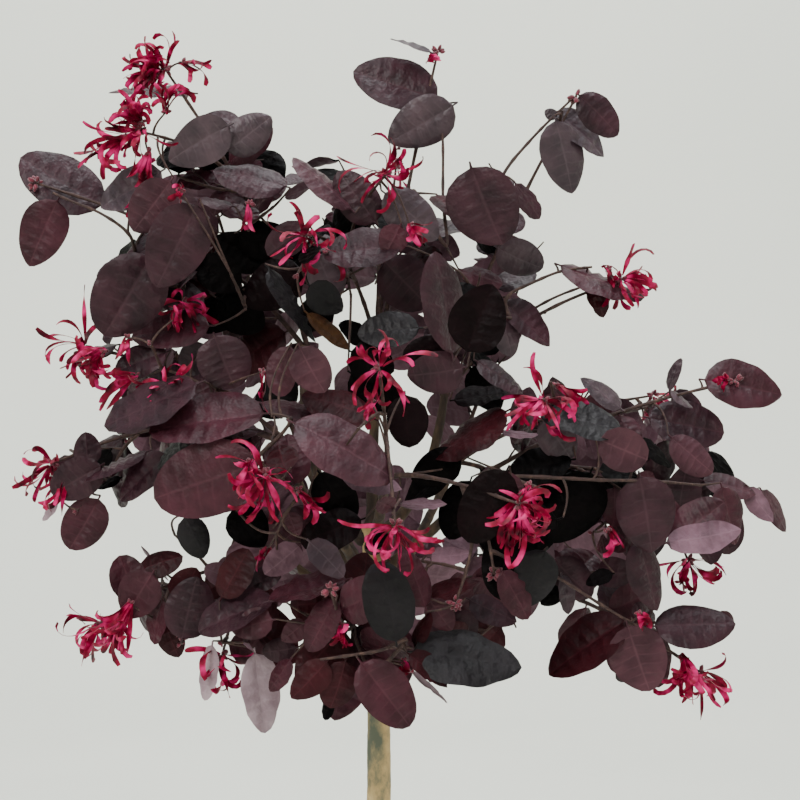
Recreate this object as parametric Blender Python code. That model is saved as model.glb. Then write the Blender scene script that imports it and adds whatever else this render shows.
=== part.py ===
"""Potted Chinese fringe flower: a small standard shrub on one clear stem, in a plain round pot.

Metres, +Z up. The origin is the middle of the pot's flat underside. -Y is the side that the plant is seen
from, and the side its leaves turn to. Sizes in the tables are millimetres, as (across, away, up) from the
origin.
"""

import math
import random
from collections import namedtuple

import bmesh
import bpy
import numpy as np
from mathutils import Vector
from mathutils.bvhtree import BVHTree

MM = 0.001
GAP = 0.0003

# Pot, five litres
POT_HEIGHT = 0.200
POT_FOOT_RADIUS = 0.082
POT_SHOULDER_RADIUS = 0.101
POT_RIM_RADIUS = 0.110
POT_RIM_DEPTH = 0.028
POT_WALL = 0.0028
POT_SIDES = 30
DRAIN_HOLES = 5
DRAIN_RADIUS = 0.006
DRAIN_CIRCLE = 0.058

# Potting soil
SOIL_LEVEL = 0.178
SOIL_CROWN = 0.004

# Trunk
TRUNK_TOP = 0.700
TRUNK_FOOT_RADIUS = 0.0115
TRUNK_LOW_RADIUS = 0.0076
TRUNK_TOP_RADIUS = 0.0054
FLARE_HEIGHT = 0.022
FLARE_LOBES = 5
TRUNK_SIDES = 10
TRUNK_RINGS = 12
TRUNK_WANDER = 0.004

# Boughs: height on the trunk, then the tip
BOUGH_FOOT_RADIUS = 0.0030
BOUGH_TIP_RADIUS = 0.0021
BOUGH_SIDES = 5
BOUGH_RINGS = 5
BOUGHS = {
    "leader_bough": (700, (5, 0, 788)),
    "upper_left_bough": (694, (-32, 5, 790)),
    "left_bough": (676, (-42, -25, 743)),
    "lower_left_bough": (655, (-40, -10, 683)),
    "front_left_bough": (667, (-19, -62, 710)),
    "front_bough": (690, (11, -72, 728)),
    "upper_right_bough": (696, (39, 10, 768)),
    "right_bough": (678, (60, -15, 726)),
    "lower_right_bough": (655, (66, -20, 677)),
    "back_left_bough": (672, (-38, 68, 736)),
    "back_right_bough": (661, (46, 68, 730)),
    "back_bough": (693, (2, 66, 762)),
    "front_low_bough": (644, (-4, -52, 668)),
    "back_low_bough": (648, (8, 50, 672)),
}

# Foliage: the bough it grows on, then what each named shoot ends in and how far that reaches:
# to the middle of a bloom or a cluster of buds, or to the tip of the last leaf
MASSES = {
    "upper_left_foliage": ("upper_left_bough", (
        ("bloom", (-100, -10, 926)), ("bloom", (-109, -35, 892)), ("leaf", (-54, 15, 905)),
        ("leaf", (-62, -62, 842)))),
    "left_foliage": ("upper_left_bough", (
        ("bud", (-166, 0, 871)), ("leaf", (-121, -40, 806)), ("bloom", (-90, -25, 810)),
        ("leaf", (-60, -68, 792)))),
    "mid_left_foliage": ("left_bough", (
        ("bloom", (-138, -20, 789)), ("bloom", (-95, -55, 770)), ("leaf", (-78, -82, 742)))),
    "left_low_foliage": ("left_bough", (
        ("bloom", (-156, -10, 731)), ("leaf", (-146, 5, 695)), ("bud", (-124, 20, 744)))),
    "front_left_foliage": ("front_left_bough", (
        ("bloom", (-44, -115, 729)), ("leaf", (-78, -100, 718)), ("leaf", (-52, -88, 684)))),
    "lower_left_foliage": ("lower_left_bough", (
        ("bloom", (-130, -25, 654)), ("leaf", (-108, 15, 682)), ("bud", (-89, -40, 647)))),
    "hanging_left_foliage": ("lower_left_bough", (
        ("bloom", (-68, -55, 642)), ("leaf", (-51, -35, 606)))),
    "front_low_foliage": ("front_low_bough", (
        ("leaf", (-9, -95, 624)), ("leaf", (14, -115, 618)), ("bud", (-15, -110, 678)))),
    "front_centre_foliage": ("front_bough", (
        ("bloom", (7, -125, 776)), ("bloom", (14, -130, 708)), ("leaf", (-14, -140, 743)),
        ("leaf", (36, -118, 748)))),
    "front_right_foliage": ("front_bough", (
        ("bloom", (68, -125, 717)), ("bud", (58, -110, 685)), ("bud", (41, -100, 671)))),
    "top_foliage": ("leader_bough", (
        ("bud", (35, 10, 938)), ("leaf", (14, -20, 926)), ("leaf", (32, -48, 858)))),
    "top_left_foliage": ("leader_bough", (
        ("leaf", (-33, -20, 882)), ("bloom", (9, -60, 868)), ("bloom", (-28, -70, 839)),
        ("leaf", (-8, -84, 806)))),
    "top_right_foliage": ("upper_right_bough", (
        ("bud", (104, 0, 914)), ("leaf", (69, -45, 868)), ("leaf", (56, 28, 880)))),
    "upper_right_foliage": ("upper_right_bough", (
        ("bloom", (125, -15, 822)), ("leaf", (46, -84, 802)), ("leaf", (82, -66, 812)))),
    "right_foliage": ("right_bough", (
        ("bud", (182, -10, 772)), ("bloom", (83, -70, 762)), ("leaf", (153, 10, 790)))),
    "far_right_foliage": ("right_bough", (
        ("leaf", (208, -5, 708)), ("bloom", (157, -20, 684)), ("leaf", (131, -60, 706)))),
    "lower_right_foliage": ("lower_right_bough", (
        ("bloom", (162, -25, 630)), ("leaf", (176, -40, 664)), ("leaf", (102, -58, 644)))),
    "hanging_right_foliage": ("lower_right_bough", (
        ("leaf", (66, -62, 632)), ("leaf", (32, -78, 634)))),
    "back_upper_left_foliage": ("back_left_bough", (
        ("bloom", (-88, 88, 878)), ("leaf", (-52, 62, 850)), ("leaf", (-105, 60, 845)))),
    "back_left_foliage": ("back_left_bough", (
        ("leaf", (-150, 100, 768)), ("bloom", (-100, 135, 735)), ("leaf", (-134, 55, 780)))),
    "back_low_left_foliage": ("back_left_bough", (
        ("leaf", (-96, 104, 650)), ("bud", (-50, 120, 680)))),
    "back_upper_right_foliage": ("back_right_bough", (
        ("leaf", (98, 92, 872)), ("bud", (122, 72, 826)), ("leaf", (70, 122, 836)))),
    "back_right_foliage": ("back_right_bough", (
        ("bloom", (155, 100, 765)), ("leaf", (118, 142, 738)), ("leaf", (154, 55, 778)))),
    "back_low_right_foliage": ("back_right_bough", (
        ("leaf", (138, 104, 656)), ("bloom", (80, 130, 672)))),
    "back_top_foliage": ("back_bough", (
        ("bloom", (14, 84, 890)), ("leaf", (-4, 142, 826)), ("leaf", (44, 60, 878)))),
    "back_low_foliage": ("back_low_bough", (
        ("leaf", (13, 118, 646)), ("bloom", (-8, 140, 706)))),
    "top_back_foliage": ("leader_bough", (
        ("leaf", (6, 46, 930)), ("bud", (-36, 44, 884)), ("leaf", (50, 34, 842)))),
}

# Sky that shows through the crown and into its edge, as seen from VIEWPOINT: each opening's middle
# (across, up) and half sizes, where it crosses the upright plane through the trunk
VIEWPOINT = Vector((0.016, -1.0, 0.7625))
OPENINGS = (
    (-28, 915, 20, 27), (68, 915, 21, 31), (112, 850, 21, 13), (121, 790, 24, 12), (177, 803, 31, 17),
    (-164, 812, 19, 15), (-159, 756, 23, 9), (-135, 842, 13, 6), (-89, 792, 9, 5), (-6, 812, 9, 8),
    (61, 742, 12, 6), (33, 707, 9, 9), (-119, 700, 14, 8), (66, 597, 45, 21), (-109, 610, 25, 19),
    (116, 595, 28, 15), (198, 742, 17, 13), (203, 667, 20, 21), (-171, 667, 21, 23), (-161, 912, 23, 18),
    (-66, 927, 13, 15), (166, 882, 42, 40), (116, 937, 30, 15), (-25, 863, 7, 7), (-71, 851, 6, 5),
    (-34, 590, 14, 14), (-173, 781, 17, 14), (186, 587, 30, 25), (30, 976, 90, 26), (-198, 850, 18, 70),
)

# Growth
SEED = 14
CROWN_CENTRE = Vector((0.012, 0.0, 0.755))
LIGHT_SIDE = Vector((0.0, -0.92, 0.39))
STEM_RADII = (0.0010, 0.0016, 0.0010)
SHOOT_RADII = (0.00055, 0.0012, 0.0009)
TWIG_RADII = (0.0004, 0.0010, 0.0008)
STEM_SPREAD = 0.0013
TWIG_SPACING = 0.050
TWIG_LENGTH = (0.018, 0.036)
LEAF_SPACING = 0.017
LEAF_LENGTH = 0.049
LEAF_TIP_SHARE = 0.64
LAST_LEAF_LENGTH = 0.032
LEAF_WIDTH_SHARE = 0.38
LEAF_OUTLINE = ((0.27, 0.85), (0.66, 0.92), (1.0, 0.0), (0.66, -0.92), (0.27, -0.85))
LEAF_FOLD = 0.06
LEAF_THICKNESS = 0.0008
STALK_SHARE = 0.08
STALK_RADII = (0.0002, 0.0004)
LEAF_TRIES = 14
SPACE_MARGIN = 0.0018
LIMB_MARGIN = 0.003
BLOOM_REACH = 0.021
BLOOM_RINGS = ((6, 32), (6, 82))
BLOOM_CORE = 0.0032
BUD_RADIUS = 0.0042

Shoot = namedtuple("Shoot", "points radii ends_in")
Leaf = namedtuple("Leaf", "base along normal length")
Bloom = namedtuple("Bloom", "centre axis rays")
Limb = namedtuple("Limb", "points radii")


def in_metres(sizes):
    return Vector(sizes) * MM


def curve_between(start, heading, end, steps):
    """Points on a curve that leaves start along heading and arrives at end."""
    pull = start + heading.normalized() * (end - start).length * 0.42
    places = []
    for step in range(steps + 1):
        t = step / steps
        places.append(start * (1 - t) ** 2 + pull * (2 * t * (1 - t)) + end * t ** 2)
    return places


def place_along(points, share):
    """The point and direction at this share of a line through points."""
    lengths = [(b - a).length for a, b in zip(points, points[1:])]
    left = share * sum(lengths)
    for a, b, length in zip(points, points[1:], lengths):
        if left <= length:
            return a.lerp(b, left / length), (b - a).normalized()
        left -= length
    return points[-1].copy(), (points[-1] - points[-2]).normalized()


def length_of(points):
    return sum((b - a).length for a, b in zip(points, points[1:]))


def random_direction(rng):
    up = rng.uniform(-1, 1)
    turn = rng.uniform(0, 2 * math.pi)
    flat = math.sqrt(1 - up * up)
    return Vector((flat * math.cos(turn), flat * math.sin(turn), up))


# Limbs


def trunk_line():
    """The trunk's centre line: it rises with a slight double bend."""
    foot = SOIL_LEVEL + SOIL_CROWN + GAP
    places = []
    for ring in range(TRUNK_RINGS):
        share = (ring / (TRUNK_RINGS - 1)) ** 1.35
        sway = TRUNK_WANDER * math.sin(share * 2 * math.pi)
        places.append(Vector((-sway + 0.002 * share, 0.6 * sway * share, foot + (TRUNK_TOP - foot) * share)))
    return places


def trunk_radius(height):
    foot = SOIL_LEVEL + SOIL_CROWN + GAP
    share = (height - foot) / (TRUNK_TOP - foot)
    flare = math.exp(-(height - foot) / FLARE_HEIGHT)
    plain = TRUNK_LOW_RADIUS + (TRUNK_TOP_RADIUS - TRUNK_LOW_RADIUS) * share
    return plain + (TRUNK_FOOT_RADIUS - TRUNK_LOW_RADIUS) * flare


def trunk_place(height):
    line = trunk_line()
    for a, b in zip(line, line[1:]):
        if a.z <= height <= b.z:
            return a.lerp(b, (height - a.z) / (b.z - a.z))
    return line[-1]


def bough_limb(name):
    """A bough's centre line and radii. It leaves the trunk's side, or its top, a hair's breadth clear."""
    height, tip = BOUGHS[name]
    height, tip = height * MM, in_metres(tip)
    if height >= TRUNK_TOP:
        start = trunk_place(height) + Vector((0, 0, GAP))
        heading = Vector((0, 0, 1))
    else:
        axis = trunk_place(height)
        outward = Vector((tip.x - axis.x, tip.y - axis.y, 0)).normalized()
        start = axis + outward * (trunk_radius(height) + GAP)
        heading = outward + Vector((0, 0, 0.75))
    points = curve_between(start, heading, tip, BOUGH_RINGS - 1)
    thin = (BOUGH_FOOT_RADIUS - BOUGH_TIP_RADIUS) / (BOUGH_RINGS - 1)
    return Limb(points, [BOUGH_FOOT_RADIUS - thin * i for i in range(BOUGH_RINGS)])


# Spaces


def segments_of(points):
    return [(a, b) for a, b in zip(points, points[1:])]


class Spaces:
    """Each mass's own space: nearest its own named shoots, off the limbs and out of the sky."""

    def __init__(self, skeletons, limbs):
        rows = [(a, b, owner) for owner, shoots in skeletons.items() for shoot in shoots
                for a, b in segments_of(shoot.points)]
        self.starts = np.array([row[0] for row in rows])
        self.runs = np.array([row[1] - row[0] for row in rows])
        self.owners = np.array([row[2] for row in rows])
        bars = [(a, b, max(ra, rb)) for limb in limbs
                for (a, b), ra, rb in zip(segments_of(limb.points), limb.radii, limb.radii[1:])]
        self.bar_starts = np.array([bar[0] for bar in bars])
        self.bar_runs = np.array([bar[1] - bar[0] for bar in bars])
        self.bar_radii = np.array([bar[2] for bar in bars])

    @staticmethod
    def in_sky(places):
        """True where one of these places would stand in front of, or behind, an opening in the crown."""
        offsets = places - np.array(VIEWPOINT)
        seen = np.array(VIEWPOINT) - offsets * (VIEWPOINT.y / offsets[:, 1:2])
        for across, up, half_across, half_up in OPENINGS:
            apart = ((seen[:, 0] / MM - across) / half_across) ** 2 + ((seen[:, 2] / MM - up) / half_up) ** 2
            if (apart < 1).any():
                return True
        return False

    @staticmethod
    def distances(places, starts, runs):
        offsets = places[:, None, :] - starts[None, :, :]
        share = np.einsum("ijk,jk->ij", offsets, runs) / np.einsum("jk,jk->j", runs, runs)
        nearest = offsets - np.clip(share, 0, 1)[:, :, None] * runs[None, :, :]
        return np.sqrt(np.einsum("ijk,ijk->ij", nearest, nearest))

    def holds(self, owner, places):
        """True where every one of these places is in the owner's space."""
        places = np.array(places)
        if self.in_sky(places):
            return False
        reach = self.distances(places, self.starts, self.runs)
        own = reach[:, self.owners == owner].min(axis=1)
        others = reach[:, self.owners != owner].min(axis=1)
        if (others - own < SPACE_MARGIN).any():
            return False
        bars = self.distances(places, self.bar_starts, self.bar_runs)
        return bool((bars > self.bar_radii + LIMB_MARGIN).all())


# Growth of one mass


def end_heading(limb):
    return (limb.points[-1] - limb.points[-2]).normalized()


def stem_offset(name, tip, heading):
    """Stems that share a bough's end stand evenly round it, each on the side that it grows to."""
    partners = [other for other in MASSES if MASSES[other][0] == MASSES[name][0]]
    if len(partners) == 1:
        return Vector()
    side = heading.orthogonal().normalized()
    other_side = heading.cross(side)
    turns = {}
    reaches = {partner: in_metres(MASSES[partner][1][0][1]) - tip for partner in partners}
    middle = sum(reaches.values(), Vector()) / len(partners)
    for partner in partners:
        aside = reaches[partner] - middle
        turns[partner] = math.atan2(aside.dot(other_side), aside.dot(side))
    order = sorted(partners, key=turns.get)
    turn = turns[order[0]] + 2 * math.pi * order.index(name) / len(order)
    return (side * math.cos(turn) + other_side * math.sin(turn)) * STEM_SPREAD


def shoot_end(start, end):
    """A shoot that ends in a leaf stops that leaf's length short."""
    ends_in, place = end
    goal = in_metres(place)
    if ends_in == "leaf":
        goal -= (goal - start).normalized() * min(LAST_LEAF_LENGTH, 0.5 * (goal - start).length)
    return goal


def named_shoots(name, limbs):
    """The stem and the named shoots of a mass, from its bough's end face."""
    bough_name, ends = MASSES[name]
    tip = limbs[bough_name].points[-1]
    heading = end_heading(limbs[bough_name])
    start = tip + heading * GAP + stem_offset(name, tip, heading)
    goal = shoot_end(start, ends[0])
    stem = curve_between(start, heading * 0.6 + (goal - tip).normalized() * 0.8, goal, 4)
    shoots = [Shoot(stem, STEM_RADII, ends[0][0])]
    for end in ends[1:]:
        place = in_metres(end[1])
        share = min((0.2, 0.3, 0.4, 0.5, 0.6), key=lambda s: (place_along(stem, s)[0] - place).length)
        fork, along = place_along(stem, share)
        goal = shoot_end(fork, end)
        points = curve_between(fork, along + (goal - fork).normalized(), goal, 3)
        shoots.append(Shoot(points, SHOOT_RADII, end[0]))
    return shoots


def leaf_frame(leaf):
    across = leaf.along.cross(leaf.normal).normalized()
    return across, leaf.normal


def leaf_corners(leaf):
    """The corners of a leaf's outline, folded up a little to each side of its midrib."""
    across, normal = leaf_frame(leaf)
    corners = []
    for along, side in LEAF_OUTLINE:
        offset = leaf.along * along + across * (LEAF_WIDTH_SHARE * side) + normal * (LEAF_FOLD * abs(side))
        corners.append(leaf.base + offset * leaf.length)
    return corners


def leaf_places(leaf):
    """Places spread over a leaf, for the tests of what it would touch."""
    corners = leaf_corners(leaf)
    foot = leaf.base + leaf.along * (leaf.length * 0.14)
    places = [foot, *corners]
    for corner in corners:
        places += [foot.lerp(corner, 0.5), foot.lerp(corner, 0.8)]
    for a, b in zip(corners, corners[1:]):
        places.append(a.lerp(b, 0.5))
    return places


def lines_tree(lines):
    """Lines as slivers, for the tests of what crosses them."""
    places, faces = [], []
    for a, b in lines:
        faces.append((len(places), len(places) + 1, len(places) + 2))
        places += [a, b, b + (b - a).orthogonal().normalized() * 0.0004]
    return BVHTree.FromPolygons(places, faces)


def leaf_tree(leaf):
    foot = leaf.base + leaf.along * (leaf.length * STALK_SHARE * 1.3)
    return BVHTree.FromPolygons([foot, *leaf_corners(leaf)], [(0, 1, 2), (0, 2, 3), (0, 3, 4), (0, 4, 5)])


def facing(place, rng):
    """Which way a leaf at this place turns its face."""
    outward = (place - CROWN_CENTRE).normalized()
    if place.y < 0.03:
        face = outward * 0.55 + LIGHT_SIDE * 0.8
    else:
        face = outward * 0.9 + Vector((0, 0.1, 0.4))
    return (face + random_direction(rng) * rng.uniform(0.1, 0.7)).normalized()


def try_leaf(base, tangent, side, length, rng):
    face = facing(base, rng)
    sideways = tangent.cross(face)
    if sideways.length < 0.2:
        sideways = tangent.orthogonal()
    lean = math.radians(rng.uniform(50, 88))
    along = tangent * math.cos(lean) + sideways.normalized() * (side * math.sin(lean))
    along += Vector((0, 0, -rng.uniform(0.0, 0.4)))
    along.normalize()
    normal = face - along * face.dot(along)
    if normal.length < 0.2:
        normal = along.orthogonal()
    return Leaf(base, along, normal.normalized(), length)


def add_leaf(found, base, tangent, side, length, owner, spaces, rng):
    """Tries a few ways to hold a leaf here, smaller towards the last, and keeps the first that is clear."""
    for attempt in range(LEAF_TRIES):
        size = length * (1 - 0.035 * attempt)
        leaf = try_leaf(base, tangent, side, size, rng)
        if not spaces.holds(owner, leaf_places(leaf)):
            continue
        tree = leaf_tree(leaf)
        if any(tree.overlap(other) for _, other in found):
            continue
        found.append((leaf, tree))
        return


def add_leaves(found, shoot, first, owner, spaces, rng):
    """Leaves on alternate sides of a shoot, smaller towards its tip, the last at the tip itself."""
    long = length_of(shoot.points)
    count = max(1, round(long * (1 - first) / LEAF_SPACING))
    side = rng.choice((-1, 1))
    for i in range(count):
        share = first + (1 - first) * (i + 0.5) / count
        place, tangent = place_along(shoot.points, share)
        size = LEAF_LENGTH * (1 - (1 - LEAF_TIP_SHARE) * share) * rng.uniform(0.78, 1.18)
        add_leaf(found, place, tangent, side, size, owner, spaces, rng)
        side = -side
    if shoot.ends_in == "leaf":
        place, tangent = place_along(shoot.points, 0.99)
        size = LAST_LEAF_LENGTH * rng.uniform(0.9, 1.15)
        heading = (tangent + Vector((0, 0, 0.1))).normalized()
        add_leaf(found, place, heading, side * 0.3, size, owner, spaces, rng)


def side_twigs(shoots, owner, spaces, rng):
    """Short twigs off the named shoots, where there is room for them."""
    twigs = []
    for shoot in shoots:
        count = round(length_of(shoot.points) / TWIG_SPACING)
        for i in range(count):
            share = (i + rng.uniform(0.5, 0.9)) / count
            foot, tangent = place_along(shoot.points, min(share, 0.92))
            turn = random_direction(rng)
            across = (turn - tangent * turn.dot(tangent)).normalized()
            heading = (tangent * rng.uniform(0.5, 1.0) + across + Vector((0, 0, 0.15))).normalized()
            tip = foot + heading * rng.uniform(*TWIG_LENGTH)
            if not spaces.holds(owner, [foot.lerp(tip, s) for s in (0.35, 0.7, 1.0)]):
                continue
            points = curve_between(foot, heading + across * 0.4, tip, 2)
            twigs.append(Shoot(points, TWIG_RADII, rng.choice(("leaf", "leaf", "bud"))))
    return twigs


def bloom_at(shoot, owner, spaces, rng):
    """A bloom nods out from a shoot's tip. Its petal sprays are each as long as the mass's space allows."""
    centre = shoot.points[-1]
    heading = (centre - shoot.points[-2]).normalized()
    axis = heading + Vector((0, -0.5 if centre.y < 0.03 else 0.3, -0.45)) + random_direction(rng) * 0.3
    turn = axis.to_track_quat("Z", "Y")
    rays = []
    for count, slant in BLOOM_RINGS:
        for i in range(count):
            spread = math.radians(slant + rng.uniform(-12, 12))
            around = math.radians(360 * (i + 0.5) / count + rng.uniform(-14, 14))
            flat = Vector((math.cos(around), math.sin(around), 0)) * math.sin(spread)
            ray = flat + Vector((0, 0, math.cos(spread)))
            ray.rotate(turn)
            reach = BLOOM_REACH * rng.uniform(0.75, 1.1)
            while reach > 0.4 * BLOOM_REACH:
                if spaces.holds(owner, [centre + ray * reach, centre + ray * reach * 0.6]):
                    break
                reach -= 0.1 * BLOOM_REACH
            rays.append(ray * reach)
    return Bloom(centre, axis.normalized(), rays)


def grow(name, skeleton, spaces):
    """All that one mass holds: its shoots, twigs, leaves and blooms."""
    rng = random.Random(SEED + list(MASSES).index(name))
    shoots = list(skeleton)
    twigs = side_twigs(shoots, name, spaces, rng)
    blooms = [bloom_at(shoot, name, spaces, rng) for shoot in shoots if shoot.ends_in == "bloom"]
    lines = [line for shoot in shoots + twigs for line in segments_of(shoot.points)]
    lines += [(bloom.centre, bloom.centre + ray) for bloom in blooms for ray in bloom.rays]
    found = [(None, lines_tree(lines))]
    for i, shoot in enumerate(shoots):
        add_leaves(found, shoot, 0.2 if i == 0 else 0.15, name, spaces, rng)
    for twig in twigs:
        add_leaves(found, twig, 0.3, name, spaces, rng)
    buds = [shoot.points[-1] for shoot in shoots if shoot.ends_in == "bud"]
    return shoots + twigs, [leaf for leaf, _ in found[1:]], blooms, buds


def whole_plant():
    """The limbs, and what each mass of foliage holds."""
    limbs = {name: bough_limb(name) for name in BOUGHS}
    skeletons = {name: named_shoots(name, limbs) for name in MASSES}
    line = trunk_line()
    trunk = Limb(line, [trunk_radius(place.z) for place in line])
    spaces = Spaces(skeletons, [trunk, *limbs.values()])
    return trunk, limbs, {name: grow(name, skeletons[name], spaces) for name in MASSES}


# Solids


def material(name, colour, roughness):
    made = bpy.data.materials.new(name)
    made.use_nodes = True
    shader = made.node_tree.nodes["Principled BSDF"]
    shader.inputs["Base Color"].default_value = (*colour, 1.0)
    shader.inputs["Roughness"].default_value = roughness
    shader.inputs["Metallic"].default_value = 0.0
    return made


def mesh_object(name, places, faces, finish, smooth_angle=None):
    mesh = bpy.data.meshes.new(name)
    mesh.from_pydata([tuple(place) for place in places], [], faces)
    shape = bmesh.new()
    shape.from_mesh(mesh)
    bmesh.ops.recalc_face_normals(shape, faces=shape.faces)
    shape.to_mesh(mesh)
    shape.free()
    mesh.materials.append(finish)
    if smooth_angle is not None:
        mesh.shade_smooth()
        mesh.set_sharp_from_angle(angle=math.radians(smooth_angle))
    made = bpy.data.objects.new(name, mesh)
    bpy.context.scene.collection.objects.link(made)
    return made


def tube(name, points, radii, sides, finish, cut=None, lobes=None, smooth_angle=None):
    """A closed tapering tube along points, its foot cut on a slant if asked."""
    places = []
    frame_side = None
    for i, point in enumerate(points):
        before = points[max(i - 1, 0)]
        after = points[min(i + 1, len(points) - 1)]
        heading = (after - before).normalized()
        if frame_side is None:
            frame_side = heading.orthogonal().normalized()
        frame_side = (frame_side - heading * frame_side.dot(heading)).normalized()
        other = heading.cross(frame_side)
        for j in range(sides):
            turn = 2 * math.pi * j / sides
            out = radii[i] * (1 + (lobes[i] * math.cos(FLARE_LOBES * turn) if lobes else 0))
            offset = frame_side * (out * math.cos(turn)) + other * (out * math.sin(turn))
            if i == 0 and cut is not None:
                offset -= heading * (offset.dot(cut) / heading.dot(cut))
            places.append(point + offset)
    faces = [tuple(range(sides)), tuple(range(len(places) - sides, len(places)))]
    for i in range(len(points) - 1):
        for j in range(sides):
            k = (j + 1) % sides
            faces.append((i * sides + j, i * sides + k, (i + 1) * sides + k, (i + 1) * sides + j))
    return mesh_object(name, places, faces, finish, smooth_angle)


def lathe(name, profile, finish, smooth_angle=40):
    """A solid turned about Z from a profile of (radius, height) that starts and ends on the axis."""
    places, faces = [], []
    rings = []
    for radius, height in profile:
        if radius == 0:
            rings.append([len(places)])
            places.append((0, 0, height))
            continue
        rings.append(list(range(len(places), len(places) + POT_SIDES)))
        for i in range(POT_SIDES):
            turn = 2 * math.pi * i / POT_SIDES
            places.append((radius * math.cos(turn), radius * math.sin(turn), height))
    for low, high in zip(rings, rings[1:]):
        for i in range(POT_SIDES):
            k = (i + 1) % POT_SIDES
            corners = [low[i % len(low)], low[k % len(low)], high[k % len(high)], high[i % len(high)]]
            faces.append(tuple(dict.fromkeys(corners)))
    return mesh_object(name, places, faces, finish, smooth_angle)


def make_pot(finish):
    """Tapered round pot with a deep rolled rim and drain holes round its flat underside."""
    rim_foot = POT_HEIGHT - POT_RIM_DEPTH
    inner_foot = POT_FOOT_RADIUS - POT_WALL
    inner_shoulder = POT_SHOULDER_RADIUS - POT_WALL
    inner_rim = POT_RIM_RADIUS - POT_WALL
    outline = [
        (0, 0), (POT_FOOT_RADIUS, 0), (POT_SHOULDER_RADIUS, rim_foot),
        (POT_RIM_RADIUS - 0.002, rim_foot + 0.002), (POT_RIM_RADIUS, POT_HEIGHT),
        (inner_rim, POT_HEIGHT), (inner_rim - 0.002, rim_foot + 0.006),
        (inner_shoulder, rim_foot), (inner_foot, POT_WALL), (0, POT_WALL),
    ]
    pot = lathe("pot", outline, finish)
    for i in range(DRAIN_HOLES):
        turn = 2 * math.pi * (i + 0.3) / DRAIN_HOLES
        bpy.ops.mesh.primitive_cylinder_add(
            vertices=6, radius=DRAIN_RADIUS, depth=4 * POT_WALL,
            location=(DRAIN_CIRCLE * math.cos(turn), DRAIN_CIRCLE * math.sin(turn), POT_WALL / 2),
        )
        cutter = bpy.context.active_object
        cutter.name = f"drain_cutter_{i}"
        cutter.hide_render = True
        cutter.display_type = "WIRE"
        cut = pot.modifiers.new(f"drain_{i}", "BOOLEAN")
        cut.operation = "DIFFERENCE"
        cut.object = cutter
    return pot


def make_soil(finish):
    """Compost, a little mounded to the stem, a hair's breadth clear of the pot all round."""
    clear = POT_WALL + 2 * GAP
    rim_foot = POT_HEIGHT - POT_RIM_DEPTH
    foot = POT_FOOT_RADIUS - clear - 0.001
    top = POT_SHOULDER_RADIUS - clear - 0.001
    outline = [
        (0, POT_WALL + GAP), (foot, POT_WALL + GAP), (top, rim_foot - 0.004), (top, SOIL_LEVEL),
        (0.03, SOIL_LEVEL + SOIL_CROWN), (0, SOIL_LEVEL + SOIL_CROWN),
    ]
    return lathe("potting_soil", outline, finish)


def make_trunk(trunk, finish):
    lobes = [0.16 * math.exp(-(place.z - trunk.points[0].z) / FLARE_HEIGHT) for place in trunk.points]
    return tube("trunk", trunk.points, trunk.radii, TRUNK_SIDES, finish,
                cut=Vector((0, 0, 1)), lobes=lobes, smooth_angle=60)


def make_bough(name, limb, finish):
    cut = None
    if BOUGHS[name][0] * MM < TRUNK_TOP:
        cut = limb.points[0] - trunk_place(BOUGHS[name][0] * MM)
    return tube(name, limb.points, limb.radii, BOUGH_SIDES, finish, cut=cut, smooth_angle=70)


def leaf_solid(leaf, finish):
    """A leaf blade with a keel below, on a three-sided stalk that starts on the twig's centre line."""
    across, normal = leaf_frame(leaf)
    places = []
    for share, radius in zip((0, STALK_SHARE), STALK_RADII):
        centre = leaf.base + leaf.along * (leaf.length * share)
        places += [centre + normal * radius]
        places += [centre + (across * side - normal * 0.5) * radius for side in (1, -1)]
    places += leaf_corners(leaf)
    places.append(leaf.base + leaf.along * (leaf.length * 0.42) - normal * LEAF_THICKNESS)
    top, left, right, keel = 3, 4, 5, len(places) - 1
    rim = [left, *range(6, keel), right]
    faces = [(0, 1, 2), (0, top, left, 1), (1, left, right, 2), (2, right, top, 0), (keel, right, left)]
    for a, b in zip(rim, rim[1:]):
        faces += [(top, a, b), (keel, b, a)]
    return mesh_object("leaf", places, faces, finish)


def bloom_solid(bloom, finish):
    """A six-sided double cone whose twelve faces are each drawn out to a slim spray of petals."""
    turn = bloom.axis.to_track_quat("Z", "Y")
    places = [bloom.centre + bloom.axis * BLOOM_CORE, bloom.centre - bloom.axis * BLOOM_CORE]
    for i in range(6):
        corner = Vector((math.cos(math.radians(60 * i)), math.sin(math.radians(60 * i)), 0)) * BLOOM_CORE
        corner.rotate(turn)
        places.append(bloom.centre + corner)
    faces = []
    for half in (0, 1):
        for i in range(6):
            corners = (half, 2 + i, 2 + (i + 1) % 6)
            places.append(bloom.centre + bloom.rays[6 * half + i])
            faces += [(a, b, len(places) - 1) for a, b in zip(corners, corners[1:] + corners[:1])]
    return mesh_object("bloom", places, faces, finish)


def bud_solid(place, finish):
    """A cluster of buds as one small eight-faced knob."""
    axes = (Vector((1, 0, 0)), Vector((0, 1, 0)), Vector((0, 0, 1)))
    corners = [axis * BUD_RADIUS * side for axis in axes for side in (1, -1)]
    faces = [(a, b, c) for a in (0, 1) for b in (2, 3) for c in (4, 5)]
    return mesh_object("bud", [place + corner for corner in corners], faces, finish)


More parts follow.
